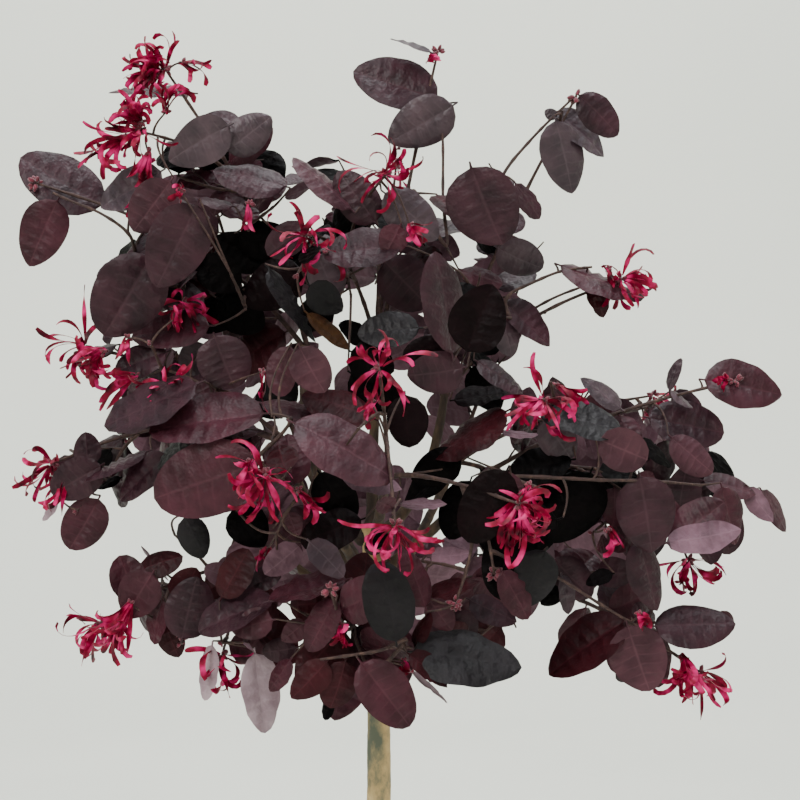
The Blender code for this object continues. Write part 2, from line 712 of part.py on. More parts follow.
def keep_outer_shell(body):
    """Fills any hollow that the joining has sealed and drops loose scrap: only the largest shell stays."""
    shape = bmesh.new()
    shape.from_mesh(body.data)
    unseen = set(shape.verts)
    shells = []
    while unseen:
        edge = [unseen.pop()]
        shell = set(edge)
        while edge:
            for link in edge.pop().link_edges:
                for vert in link.verts:
                    if vert in unseen:
                        unseen.remove(vert)
                        shell.add(vert)
                        edge.append(vert)
        shells.append(shell)
    shells.sort(key=len)
    for shell in shells[:-1]:
        bmesh.ops.delete(shape, geom=list(shell), context="VERTS")
    shape.to_mesh(body.data)
    shape.free()


def fuse(name, pieces):
    """Joins the pieces into one named solid, and removes them."""
    body, others = pieces[0], pieces[1:]
    body.name = name
    body.data.name = name
    group = bpy.data.collections.new(name + "_pieces")
    for piece in others:
        bpy.context.scene.collection.objects.unlink(piece)
        group.objects.link(piece)
    bpy.context.scene.collection.children.link(group)
    join = body.modifiers.new("fuse", "BOOLEAN")
    join.operation = "UNION"
    join.operand_type = "COLLECTION"
    join.collection = group
    join.solver = "EXACT"
    bpy.context.view_layer.objects.active = body
    bpy.ops.object.modifier_apply(modifier=join.name)
    for piece in others:
        bpy.data.objects.remove(piece)
    bpy.data.collections.remove(group)
    keep_outer_shell(body)
    return body


def make_mass(name, growth, stem_heading, finish):
    shoots, leaves, blooms, buds = growth
    pieces = []
    for i, shoot in enumerate(shoots):
        foot, thick, thin = shoot.radii
        last = len(shoot.points) - 1
        radii = [foot] + [thick + (thin - thick) * (j - 1) / (last - 1) for j in range(1, last + 1)]
        pieces.append(tube("shoot", shoot.points, radii, 3, finish, cut=stem_heading if i == 0 else None))
    pieces += [leaf_solid(leaf, finish) for leaf in leaves]
    pieces += [bloom_solid(bloom, finish) for bloom in blooms]
    pieces += [bud_solid(place, finish) for place in buds]
    return fuse(name, pieces)


def main():
    for old in list(bpy.data.objects):
        bpy.data.objects.remove(old)
    bark = material("bark", (0.20, 0.15, 0.10), 0.85)
    foliage = material("foliage", (0.048, 0.026, 0.032), 0.5)
    make_pot(material("pot_plastic", (0.030, 0.031, 0.033), 0.5))
    make_soil(material("potting_soil", (0.035, 0.022, 0.014), 0.95))
    trunk, limbs, masses = whole_plant()
    make_trunk(trunk, bark)
    for name, limb in limbs.items():
        make_bough(name, limb, bark)
    for name, growth in masses.items():
        make_mass(name, growth, end_heading(limbs[MASSES[name][0]]), foliage)


if __name__ == "__main__":
    main()
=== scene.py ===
import math
import random
from collections import namedtuple
from itertools import product

import bmesh
import bpy
import numpy as np
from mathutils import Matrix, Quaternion, Vector, noise
from mathutils.bvhtree import BVHTree


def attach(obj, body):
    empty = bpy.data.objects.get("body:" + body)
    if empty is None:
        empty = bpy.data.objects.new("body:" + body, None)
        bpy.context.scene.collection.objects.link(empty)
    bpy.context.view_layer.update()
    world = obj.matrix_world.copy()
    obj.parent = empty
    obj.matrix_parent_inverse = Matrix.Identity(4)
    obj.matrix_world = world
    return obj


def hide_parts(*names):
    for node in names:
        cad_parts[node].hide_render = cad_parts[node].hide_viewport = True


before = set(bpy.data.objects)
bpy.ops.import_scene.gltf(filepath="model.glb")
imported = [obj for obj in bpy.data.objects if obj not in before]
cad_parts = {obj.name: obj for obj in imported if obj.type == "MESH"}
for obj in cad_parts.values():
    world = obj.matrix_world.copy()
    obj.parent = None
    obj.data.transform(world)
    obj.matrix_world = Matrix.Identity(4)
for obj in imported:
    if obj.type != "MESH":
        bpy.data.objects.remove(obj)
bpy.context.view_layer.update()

mm = 0.001
# Room between the trunk, a bough and a mass, and between the compost and its pot
gap = 0.0003
upward = Vector((0, 0, 1))

Shoot = namedtuple("Shoot", "points endsIn")
Leaf = namedtuple("Leaf", "base along normal length")
Bloom = namedtuple("Bloom", "centre axis rays")
Limb = namedtuple("Limb", "points radii")
PlacedLeaf = namedtuple("PlacedLeaf", "leaf halfShare tint middle halfLong halfWide heading")
PlacedFlower = namedtuple("PlacedFlower", "knot heading reach petals")


# Colours are written as they look on a screen, and the shaders want them linear
def linear(hexColour):
    parts = [int(hexColour[i:i + 2], 16) / 255 for i in (1, 3, 5)]
    return tuple(c / 12.92 if c <= 0.04045 else ((c + 0.055) / 1.055) ** 2.4 for c in parts) + (1.0,)


# A node given as a source stands for its first output
def linkNode(tree, node, links):
    for name, source in links.items():
        tree.links.new(source.outputs[0] if isinstance(source, bpy.types.Node) else source, node.inputs[name])


def addNode(tree, kind, settings=None, links=None, stops=()):
    node = tree.nodes.new("ShaderNode" + kind)
    for name, value in (settings or {}).items():
        if isinstance(name, int) or name in node.inputs:
            node.inputs[name].default_value = value
        else:
            setattr(node, name, value)
    for _ in stops[2:]:
        node.color_ramp.elements.new(0.5)
    for i, (place, hexColour) in enumerate(stops):
        node.color_ramp.elements[i].position = place
        node.color_ramp.elements[i].color = linear(hexColour)
    linkNode(tree, node, links or {})
    return node


def newMaterial(name, settings):
    made = bpy.data.materials.new(name)
    made.use_nodes = True
    shader = made.node_tree.nodes["Principled BSDF"]
    for socket, value in settings.items():
        shader.inputs[socket].default_value = value
    return made, made.node_tree, shader


def newObject(name, data):
    made = bpy.data.objects.new(name, data)
    bpy.context.scene.collection.objects.link(made)
    return made


def pieceFromMesh(name, places, faces, smooth=True):
    mesh = bpy.data.meshes.new(name)
    mesh.from_pydata([tuple(p) for p in places], [], faces)
    if smooth:
        mesh.shade_smooth()
        mesh.set_sharp_from_angle(angle=math.radians(75))
    return newObject(name, mesh)


def finishPiece(piece, slotName, nodes, *finishes):
    for finish in finishes:
        piece.data.materials.append(finish)
    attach(piece, "root")
    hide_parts(*nodes)


# Rows of points round a line joined by faces, and closed at both ends
def closeRings(start, rings, sides, faces):
    for i in range(rings - 1):
        low, high = start + i * sides, start + (i + 1) * sides
        for j in range(sides):
            k = (j + 1) % sides
            faces.append((low + j, low + k, high + k, high + j))
    faces.append(tuple(start + j for j in reversed(range(sides))))
    faces.append(tuple(start + (rings - 1) * sides + j for j in range(sides)))


# The plant grows by the rule that its solids grew by, so every number and every draw here has to stay as it is

soil = {"level": 0.178, "crown": 0.004}

trunkShape = {
    "foot": soil["level"] + soil["crown"] + gap, "top": 0.700,
    "footRadius": 0.0115, "lowRadius": 0.0076, "topRadius": 0.0054, "flareHeight": 0.022, "flareLobes": 5,
    "rings": 12, "ringPower": 1.35, "wander": 0.004, "lean": 0.002,
}

boughShape = {"footRadius": 0.0030, "tipRadius": 0.0021, "rings": 5, "rise": 0.75}
# Height on the trunk, then the tip, in mm
boughRows = {
    "leader": (700, (5, 0, 788)),
    "upper_left": (694, (-32, 5, 790)),
    "left": (676, (-42, -25, 743)),
    "lower_left": (655, (-40, -10, 683)),
    "front_left": (667, (-19, -62, 710)),
    "front": (690, (11, -72, 728)),
    "upper_right": (696, (39, 10, 768)),
    "right": (678, (60, -15, 726)),
    "lower_right": (655, (66, -20, 677)),
    "back_left": (672, (-38, 68, 736)),
    "back_right": (661, (46, 68, 730)),
    "back": (693, (2, 66, 762)),
    "front_low": (644, (-4, -52, 668)),
    "back_low": (648, (8, 50, 672)),
}
boughs = {name + "_bough": row for name, row in boughRows.items()}

# The bough each mass grows on, then what each named shoot ends in and how far that reaches, in mm
massRows = {
    "upper_left": ("upper_left", ("bloom", -100, -10, 926), ("bloom", -109, -35, 892),
        ("leaf", -54, 15, 905), ("leaf", -62, -62, 842)),
    "left": ("upper_left", ("bud", -166, 0, 871), ("leaf", -121, -40, 806), ("bloom", -90, -25, 810),
        ("leaf", -60, -68, 792)),
    "mid_left": ("left", ("bloom", -138, -20, 789), ("bloom", -95, -55, 770), ("leaf", -78, -82, 742)),
    "left_low": ("left", ("bloom", -156, -10, 731), ("leaf", -146, 5, 695), ("bud", -124, 20, 744)),
    "front_left": ("front_left", ("bloom", -44, -115, 729), ("leaf", -78, -100, 718),
        ("leaf", -52, -88, 684)),
    "lower_left": ("lower_left", ("bloom", -130, -25, 654), ("leaf", -108, 15, 682), ("bud", -89, -40, 647)),
    "hanging_left": ("lower_left", ("bloom", -68, -55, 642), ("leaf", -51, -35, 606)),
    "front_low": ("front_low", ("leaf", -9, -95, 624), ("leaf", 14, -115, 618), ("bud", -15, -110, 678)),
    "front_centre": ("front", ("bloom", 7, -125, 776), ("bloom", 14, -130, 708), ("leaf", -14, -140, 743),
        ("leaf", 36, -118, 748)),
    "front_right": ("front", ("bloom", 68, -125, 717), ("bud", 58, -110, 685), ("bud", 41, -100, 671)),
    "top": ("leader", ("bud", 35, 10, 938), ("leaf", 14, -20, 926), ("leaf", 32, -48, 858)),
    "top_left": ("leader", ("leaf", -33, -20, 882), ("bloom", 9, -60, 868), ("bloom", -28, -70, 839),
        ("leaf", -8, -84, 806)),
    "top_right": ("upper_right", ("bud", 104, 0, 914), ("leaf", 69, -45, 868), ("leaf", 56, 28, 880)),
    "upper_right": ("upper_right", ("bloom", 125, -15, 822), ("leaf", 46, -84, 802), ("leaf", 82, -66, 812)),
    "right": ("right", ("bud", 182, -10, 772), ("bloom", 83, -70, 762), ("leaf", 153, 10, 790)),
    "far_right": ("right", ("leaf", 208, -5, 708), ("bloom", 157, -20, 684), ("leaf", 131, -60, 706)),
    "lower_right": ("lower_right", ("bloom", 162, -25, 630), ("leaf", 176, -40, 664),
        ("leaf", 102, -58, 644)),
    "hanging_right": ("lower_right", ("leaf", 66, -62, 632), ("leaf", 32, -78, 634)),
    "back_upper_left": ("back_left", ("bloom", -88, 88, 878), ("leaf", -52, 62, 850),
        ("leaf", -105, 60, 845)),
    "back_left": ("back_left", ("leaf", -150, 100, 768), ("bloom", -100, 135, 735), ("leaf", -134, 55, 780)),
    "back_low_left": ("back_left", ("leaf", -96, 104, 650), ("bud", -50, 120, 680)),
    "back_upper_right": ("back_right", ("leaf", 98, 92, 872), ("bud", 122, 72, 826), ("leaf", 70, 122, 836)),
    "back_right": ("back_right", ("bloom", 155, 100, 765), ("leaf", 118, 142, 738), ("leaf", 154, 55, 778)),
    "back_low_right": ("back_right", ("leaf", 138, 104, 656), ("bloom", 80, 130, 672)),
    "back_top": ("back", ("bloom", 14, 84, 890), ("leaf", -4, 142, 826), ("leaf", 44, 60, 878)),
    "back_low": ("back_low", ("leaf", 13, 118, 646), ("bloom", -8, 140, 706)),
    "top_back": ("leader", ("leaf", 6, 46, 930), ("bud", -36, 44, 884), ("leaf", 50, 34, 842)),
}
masses = {name + "_foliage": (bough + "_bough", [(endsIn, place) for endsIn, *place in ends])
          for name, (bough, *ends) in massRows.items()}

# Sky that shows through the crown and into its edge, as seen from the camera: each opening's middle
# (across, up) and half sizes in mm, where it crosses the upright plane through the trunk
openings = (
    (-28, 915, 20, 27), (68, 915, 21, 31), (112, 850, 21, 13), (121, 790, 24, 12), (177, 803, 31, 17),
    (-164, 812, 19, 15), (-159, 756, 23, 9), (-135, 842, 13, 6), (-89, 792, 9, 5), (-6, 812, 9, 8),
    (61, 742, 12, 6), (33, 707, 9, 9), (-119, 700, 14, 8), (66, 597, 45, 21), (-109, 610, 25, 19),
    (116, 595, 28, 15), (198, 742, 17, 13), (203, 667, 20, 21), (-171, 667, 21, 23), (-161, 912, 23, 18),
    (-66, 927, 13, 15), (166, 882, 42, 40), (116, 937, 30, 15), (-25, 863, 7, 7), (-71, 851, 6, 5),
    (-34, 590, 14, 14), (-173, 781, 17, 14), (186, 587, 30, 25), (30, 976, 90, 26), (-198, 850, 18, 70),
)

growth = {
    "viewpoint": Vector((0.016, -1.0, 0.7625)),
    "seed": 14,
    "crownCentre": Vector((0.012, 0.0, 0.755)),
    # Behind this depth leaves and flowers turn to the back
    "backFrom": 0.03,
    "lightSide": Vector((0.0, -0.92, 0.39)), "backSide": Vector((0, 0.1, 0.4)),
    "stemSpread": 0.0013, "stemSteps": 4, "shootSteps": 3, "forks": (0.2, 0.3, 0.4, 0.5, 0.6),
    "leafSpacing": 0.017, "leafLength": 0.049, "leafTipShare": 0.64, "leafSizes": (0.78, 1.18),
    "lastLeafLength": 0.032, "lastLeafSizes": (0.9, 1.15), "lastShare": 0.99,
    "leafWidthShare": 0.38, "leafFold": 0.06, "stalkShare": 0.08,
    "leafOutline": ((0.27, 0.85), (0.66, 0.92), (1.0, 0.0), (0.66, -0.92), (0.27, -0.85)),
    "leafLean": (50, 88), "leafHang": (0.0, 0.4), "leafStray": (0.1, 0.7), "leafTries": 14, "leafShrink": 0.035,
    # A leaf faces out of the crown and to the light, or out of it and to the back
    "frontFacing": (0.55, 0.8), "backFacing": 0.9, "leastSideways": 0.2,
    "spaceMargin": 0.0018, "limbMargin": 0.003,
    # Rings of rays: how many and at what slant, how far they stray in degrees, and their reach
    "bloomRings": ((6, 32), (6, 82)), "slantStray": 12, "aroundStray": 14,
    "bloomReach": 0.021, "rayReach": (0.75, 1.1), "leastRay": 0.4, "rayStep": 0.1,
    "bloomAxis": {"front": Vector((0, -0.5, -0.45)), "back": Vector((0, 0.3, -0.45)), "stray": 0.3},
}
# Twigs beside a shoot: how far apart, where in their stretch they start, and which places on them have to be free
twigRule = {
    "spacing": 0.050, "starts": (0.5, 0.9), "lastStart": 0.92, "forward": (0.5, 1.0), "rise": 0.15,
    "length": (0.018, 0.036), "tested": (0.35, 0.7, 1.0), "steps": 2, "endings": ("leaf", "leaf", "bud"),
}


def inMetres(sizes):
    return Vector(sizes) * mm


def curveBetween(start, heading, end, steps):
    pull = start + heading.normalized() * (end - start).length * 0.42
    places = []
    for step in range(steps + 1):
        t = step / steps
        places.append(start * (1 - t) ** 2 + pull * (2 * t * (1 - t)) + end * t ** 2)
    return places


def placeAlong(points, share):
    lengths = [(b - a).length for a, b in zip(points, points[1:])]
    left = share * sum(lengths)
    for a, b, length in zip(points, points[1:], lengths):
        if left <= length:
            return a.lerp(b, left / length), (b - a).normalized()
        left -= length
    return points[-1].copy(), (points[-1] - points[-2]).normalized()


def lengthOf(points):
    return sum((b - a).length for a, b in zip(points, points[1:]))


def randomDirection(rng):
    up = rng.uniform(-1, 1)
    turn = rng.uniform(0, 2 * math.pi)
    flat = math.sqrt(1 - up * up)
    return Vector((flat * math.cos(turn), flat * math.sin(turn), up))


def trunkLine(rings=trunkShape["rings"]):
    places = []
    for ring in range(rings):
        share = (ring / (rings - 1)) ** trunkShape["ringPower"]
        sway = trunkShape["wander"] * math.sin(share * 2 * math.pi)
        height = trunkShape["foot"] + (trunkShape["top"] - trunkShape["foot"]) * share
        places.append(Vector((-sway + trunkShape["lean"] * share, 0.6 * sway * share, height)))
    return places


def trunkRadius(height):
    share = (height - trunkShape["foot"]) / (trunkShape["top"] - trunkShape["foot"])
    flare = math.exp(-(height - trunkShape["foot"]) / trunkShape["flareHeight"])
    plain = trunkShape["lowRadius"] + (trunkShape["topRadius"] - trunkShape["lowRadius"]) * share
    return plain + (trunkShape["footRadius"] - trunkShape["lowRadius"]) * flare


def trunkPlace(height):
    line = trunkLine()
    for a, b in zip(line, line[1:]):
        if a.z <= height <= b.z:
            return a.lerp(b, (height - a.z) / (b.z - a.z))
    return line[-1]


def boughLimb(name):
    height, tip = boughs[name]
    height, tip = height * mm, inMetres(tip)
    axis = trunkPlace(height)
    if height >= trunkShape["top"]:
        start, heading = axis + upward * gap, upward
    else:
        outward = Vector((tip.x - axis.x, tip.y - axis.y, 0)).normalized()
        start = axis + outward * (trunkRadius(height) + gap)
        heading = outward + upward * boughShape["rise"]
    rings = boughShape["rings"]
    points = curveBetween(start, heading, tip, rings - 1)
    thin = (boughShape["footRadius"] - boughShape["tipRadius"]) / (rings - 1)
    return Limb(points, [boughShape["footRadius"] - thin * i for i in range(rings)])


def segmentsOf(points):
    return [(a, b) for a, b in zip(points, points[1:])]


def startsAndRuns(rows):
    return np.array([row[0] for row in rows]), np.array([row[1] - row[0] for row in rows])


# A mass's own space is all that lies nearer its own named shoots than any other mass's, and off the limbs
class Spaces:
    def __init__(self, skeletons, limbs):
        rows = [(a, b, owner) for owner, shoots in skeletons.items() for shoot in shoots
                for a, b in segmentsOf(shoot.points)]
        self.starts, self.runs = startsAndRuns(rows)
        self.owners = np.array([row[2] for row in rows])
        bars = [(a, b, max(ra, rb)) for limb in limbs
                for (a, b), ra, rb in zip(segmentsOf(limb.points), limb.radii, limb.radii[1:])]
        self.barStarts, self.barRuns = startsAndRuns(bars)
        self.barRadii = np.array([bar[2] for bar in bars])

    @staticmethod
    def inSky(places):
        eye = np.array(growth["viewpoint"])
        offsets = places - eye
        seen = eye - offsets * (growth["viewpoint"].y / offsets[:, 1:2])
        for across, up, halfAcross, halfUp in openings:
            apart = ((seen[:, 0] / mm - across) / halfAcross) ** 2 + ((seen[:, 2] / mm - up) / halfUp) ** 2
            if (apart < 1).any():
                return True
        return False

    @staticmethod
    def distances(places, starts, runs):
        offsets = places[:, None, :] - starts[None, :, :]
        share = np.einsum("ijk,jk->ij", offsets, runs) / np.einsum("jk,jk->j", runs, runs)
        nearest = offsets - np.clip(share, 0, 1)[:, :, None] * runs[None, :, :]
        return np.sqrt(np.einsum("ijk,ijk->ij", nearest, nearest))

    def holds(self, owner, places):
        places = np.array(places)
        if self.inSky(places):
            return False
        reach = self.distances(places, self.starts, self.runs)
        own = reach[:, self.owners == owner].min(axis=1)
        others = reach[:, self.owners != owner].min(axis=1)
        if (others - own < growth["spaceMargin"]).any():
            return False
        bars = self.distances(places, self.barStarts, self.barRuns)
        return bool((bars > self.barRadii + growth["limbMargin"]).all())


def endHeading(limb):
    return (limb.points[-1] - limb.points[-2]).normalized()


def stemOffset(name, tip, heading):
    partners = [other for other in masses if masses[other][0] == masses[name][0]]
    if len(partners) == 1:
        return Vector()
    side = heading.orthogonal().normalized()
    otherSide = heading.cross(side)
    turns = {}
    reaches = {partner: inMetres(masses[partner][1][0][1]) - tip for partner in partners}
    middle = sum(reaches.values(), Vector()) / len(partners)
    for partner in partners:
        aside = reaches[partner] - middle
        turns[partner] = math.atan2(aside.dot(otherSide), aside.dot(side))
    order = sorted(partners, key=turns.get)
    turn = turns[order[0]] + 2 * math.pi * order.index(name) / len(order)
    return (side * math.cos(turn) + otherSide * math.sin(turn)) * growth["stemSpread"]


def shootEnd(start, end):
    endsIn, place = end
    goal = inMetres(place)
    if endsIn == "leaf":
        goal -= (goal - start).normalized() * min(growth["lastLeafLength"], 0.5 * (goal - start).length)
    return goal


def namedShoots(name, limbs):
    boughName, ends = masses[name]
    tip = limbs[boughName].points[-1]
    heading = endHeading(limbs[boughName])
    start = tip + heading * gap + stemOffset(name, tip, heading)
    goal = shootEnd(start, ends[0])
    stem = curveBetween(start, heading * 0.6 + (goal - tip).normalized() * 0.8, goal, growth["stemSteps"])
    shoots = [Shoot(stem, ends[0][0])]
    for end in ends[1:]:
        place = inMetres(end[1])
        share = min(growth["forks"], key=lambda s: (placeAlong(stem, s)[0] - place).length)
        fork, along = placeAlong(stem, share)
        goal = shootEnd(fork, end)
        points = curveBetween(fork, along + (goal - fork).normalized(), goal, growth["shootSteps"])
        shoots.append(Shoot(points, end[0]))
    return shoots


def leafCorners(leaf):
    across = leaf.along.cross(leaf.normal).normalized()
    corners = []
    for along, side in growth["leafOutline"]:
        offset = leaf.along * along + across * (growth["leafWidthShare"] * side)
        offset += leaf.normal * (growth["leafFold"] * abs(side))
        corners.append(leaf.base + offset * leaf.length)
    return corners


def leafPlaces(leaf):
    corners = leafCorners(leaf)
    foot = leaf.base + leaf.along * (leaf.length * 0.14)
    places = [foot, *corners]
    for corner in corners:
        places += [foot.lerp(corner, 0.5), foot.lerp(corner, 0.8)]
    for a, b in zip(corners, corners[1:]):
        places.append(a.lerp(b, 0.5))
    return places


def linesTree(lines):
    places, faces = [], []
    for a, b in lines:
        faces.append((len(places), len(places) + 1, len(places) + 2))
        places += [a, b, b + (b - a).orthogonal().normalized() * 0.0004]
    return BVHTree.FromPolygons(places, faces)


def leafTree(leaf):
    foot = leaf.base + leaf.along * (leaf.length * growth["stalkShare"] * 1.3)
    return BVHTree.FromPolygons([foot, *leafCorners(leaf)], [(0, 1, 2), (0, 2, 3), (0, 3, 4), (0, 4, 5)])


def facing(place, rng):
    outward = (place - growth["crownCentre"]).normalized()
    if place.y < growth["backFrom"]:
        out, light = growth["frontFacing"]
        face = outward * out + growth["lightSide"] * light
    else:
        face = outward * growth["backFacing"] + growth["backSide"]
    return (face + randomDirection(rng) * rng.uniform(*growth["leafStray"])).normalized()


def tryLeaf(base, tangent, side, length, rng):
    face = facing(base, rng)
    sideways = tangent.cross(face)
    if sideways.length < growth["leastSideways"]:
        sideways = tangent.orthogonal()
    lean = math.radians(rng.uniform(*growth["leafLean"]))
    along = tangent * math.cos(lean) + sideways.normalized() * (side * math.sin(lean))
    along += Vector((0, 0, -rng.uniform(*growth["leafHang"])))
    along.normalize()
    normal = face - along * face.dot(along)
    if normal.length < growth["leastSideways"]:
        normal = along.orthogonal()
    return Leaf(base, along, normal.normalized(), length)


def addLeaf(found, base, tangent, side, length, owner, spaces, rng):
    for attempt in range(growth["leafTries"]):
        leaf = tryLeaf(base, tangent, side, length * (1 - growth["leafShrink"] * attempt), rng)
        if not spaces.holds(owner, leafPlaces(leaf)):
            continue
        tree = leafTree(leaf)
        if any(tree.overlap(other) for _, other in found):
            continue
        found.append((leaf, tree))
        return


def addLeaves(found, shoot, first, owner, spaces, rng):
    count = max(1, round(lengthOf(shoot.points) * (1 - first) / growth["leafSpacing"]))
    side = rng.choice((-1, 1))
    for i in range(count):
        share = first + (1 - first) * (i + 0.5) / count
        place, tangent = placeAlong(shoot.points, share)
        size = growth["leafLength"] * (1 - (1 - growth["leafTipShare"]) * share) * rng.uniform(*growth["leafSizes"])
        addLeaf(found, place, tangent, side, size, owner, spaces, rng)
        side = -side
    if shoot.endsIn == "leaf":
        place, tangent = placeAlong(shoot.points, growth["lastShare"])
        size = growth["lastLeafLength"] * rng.uniform(*growth["lastLeafSizes"])
        addLeaf(found, place, (tangent + upward * 0.1).normalized(), side * 0.3, size, owner, spaces, rng)


def sideTwigs(shoots, owner, spaces, rng, rule):
    twigs = []
    for shoot in shoots:
        count = round(lengthOf(shoot.points) / rule["spacing"])
        for i in range(count):
            share = (i + rng.uniform(*rule["starts"])) / count
            foot, tangent = placeAlong(shoot.points, min(share, rule["lastStart"]))
            turn = randomDirection(rng)
            across = (turn - tangent * turn.dot(tangent)).normalized()
            heading = (tangent * rng.uniform(*rule["forward"]) + across + upward * rule["rise"]).normalized()
            tip = foot + heading * rng.uniform(*rule["length"])
            if spaces.holds(owner, [foot.lerp(tip, s) for s in rule["tested"]]):
                points = curveBetween(foot, heading + across * 0.4, tip, rule["steps"])
                twigs.append(Shoot(points, rng.choice(rule["endings"])))
    return twigs


def bloomAt(shoot, owner, spaces, rng):
    centre = shoot.points[-1]
    lean = growth["bloomAxis"]
    towards = lean["front" if centre.y < growth["backFrom"] else "back"]
    axis = endHeading(shoot) + towards + randomDirection(rng) * lean["stray"]
    turn = axis.to_track_quat("Z", "Y")
    most = growth["bloomReach"]
    slantStray, aroundStray = growth["slantStray"], growth["aroundStray"]
    rays = []
    for count, slant in growth["bloomRings"]:
        for i in range(count):
            spread = math.radians(slant + rng.uniform(-slantStray, slantStray))
            around = math.radians(360 * (i + 0.5) / count + rng.uniform(-aroundStray, aroundStray))
            flat = Vector((math.cos(around), math.sin(around), 0)) * math.sin(spread)
            ray = flat + upward * math.cos(spread)
            ray.rotate(turn)
            reach = most * rng.uniform(*growth["rayReach"])
            while reach > growth["leastRay"] * most:
                if spaces.holds(owner, [centre + ray * reach, centre + ray * reach * 0.6]):
                    break
                reach -= growth["rayStep"] * most
            rays.append(ray * reach)
    return Bloom(centre, axis.normalized(), rays)


def grow(name, skeleton, spaces):
    rng = random.Random(growth["seed"] + list(masses).index(name))
    shoots = list(skeleton)
    twigs = sideTwigs(shoots, name, spaces, rng, twigRule)
    blooms = [bloomAt(shoot, name, spaces, rng) for shoot in shoots if shoot.endsIn == "bloom"]
    lines = [line for shoot in shoots + twigs for line in segmentsOf(shoot.points)]
    lines += [(bloom.centre, bloom.centre + ray) for bloom in blooms for ray in bloom.rays]
    found = [(None, linesTree(lines))]
    for i, shoot in enumerate(shoots):
        addLeaves(found, shoot, 0.15 if i else 0.2, name, spaces, rng)
    for twig in twigs:
        addLeaves(found, twig, 0.3, name, spaces, rng)
    buds = [shoot.points[-1] for shoot in shoots if shoot.endsIn == "bud"]
    # Stems and twiglets join the mass further on
    return {"shoots": shoots, "twigs": twigs, "twiglets": [], "stems": [], "blooms": blooms, "buds": buds,
            "found": found, "leaves": [leaf for leaf, _ in found[1:]]}


limbs = {name: boughLimb(name) for name in boughs}
skeletons = {name: namedShoots(name, limbs) for name in masses}
trunkPoints = trunkLine()
trunkLimb = Limb(trunkPoints, [trunkRadius(place.z) for place in trunkPoints])
spaces = Spaces(skeletons, [trunkLimb, *limbs.values()])
plant = {name: grow(name, skeletons[name], spaces) for name in masses}
print("grown:", sum(len(m["leaves"]) for m in plant.values()), "leaves as in the solids")


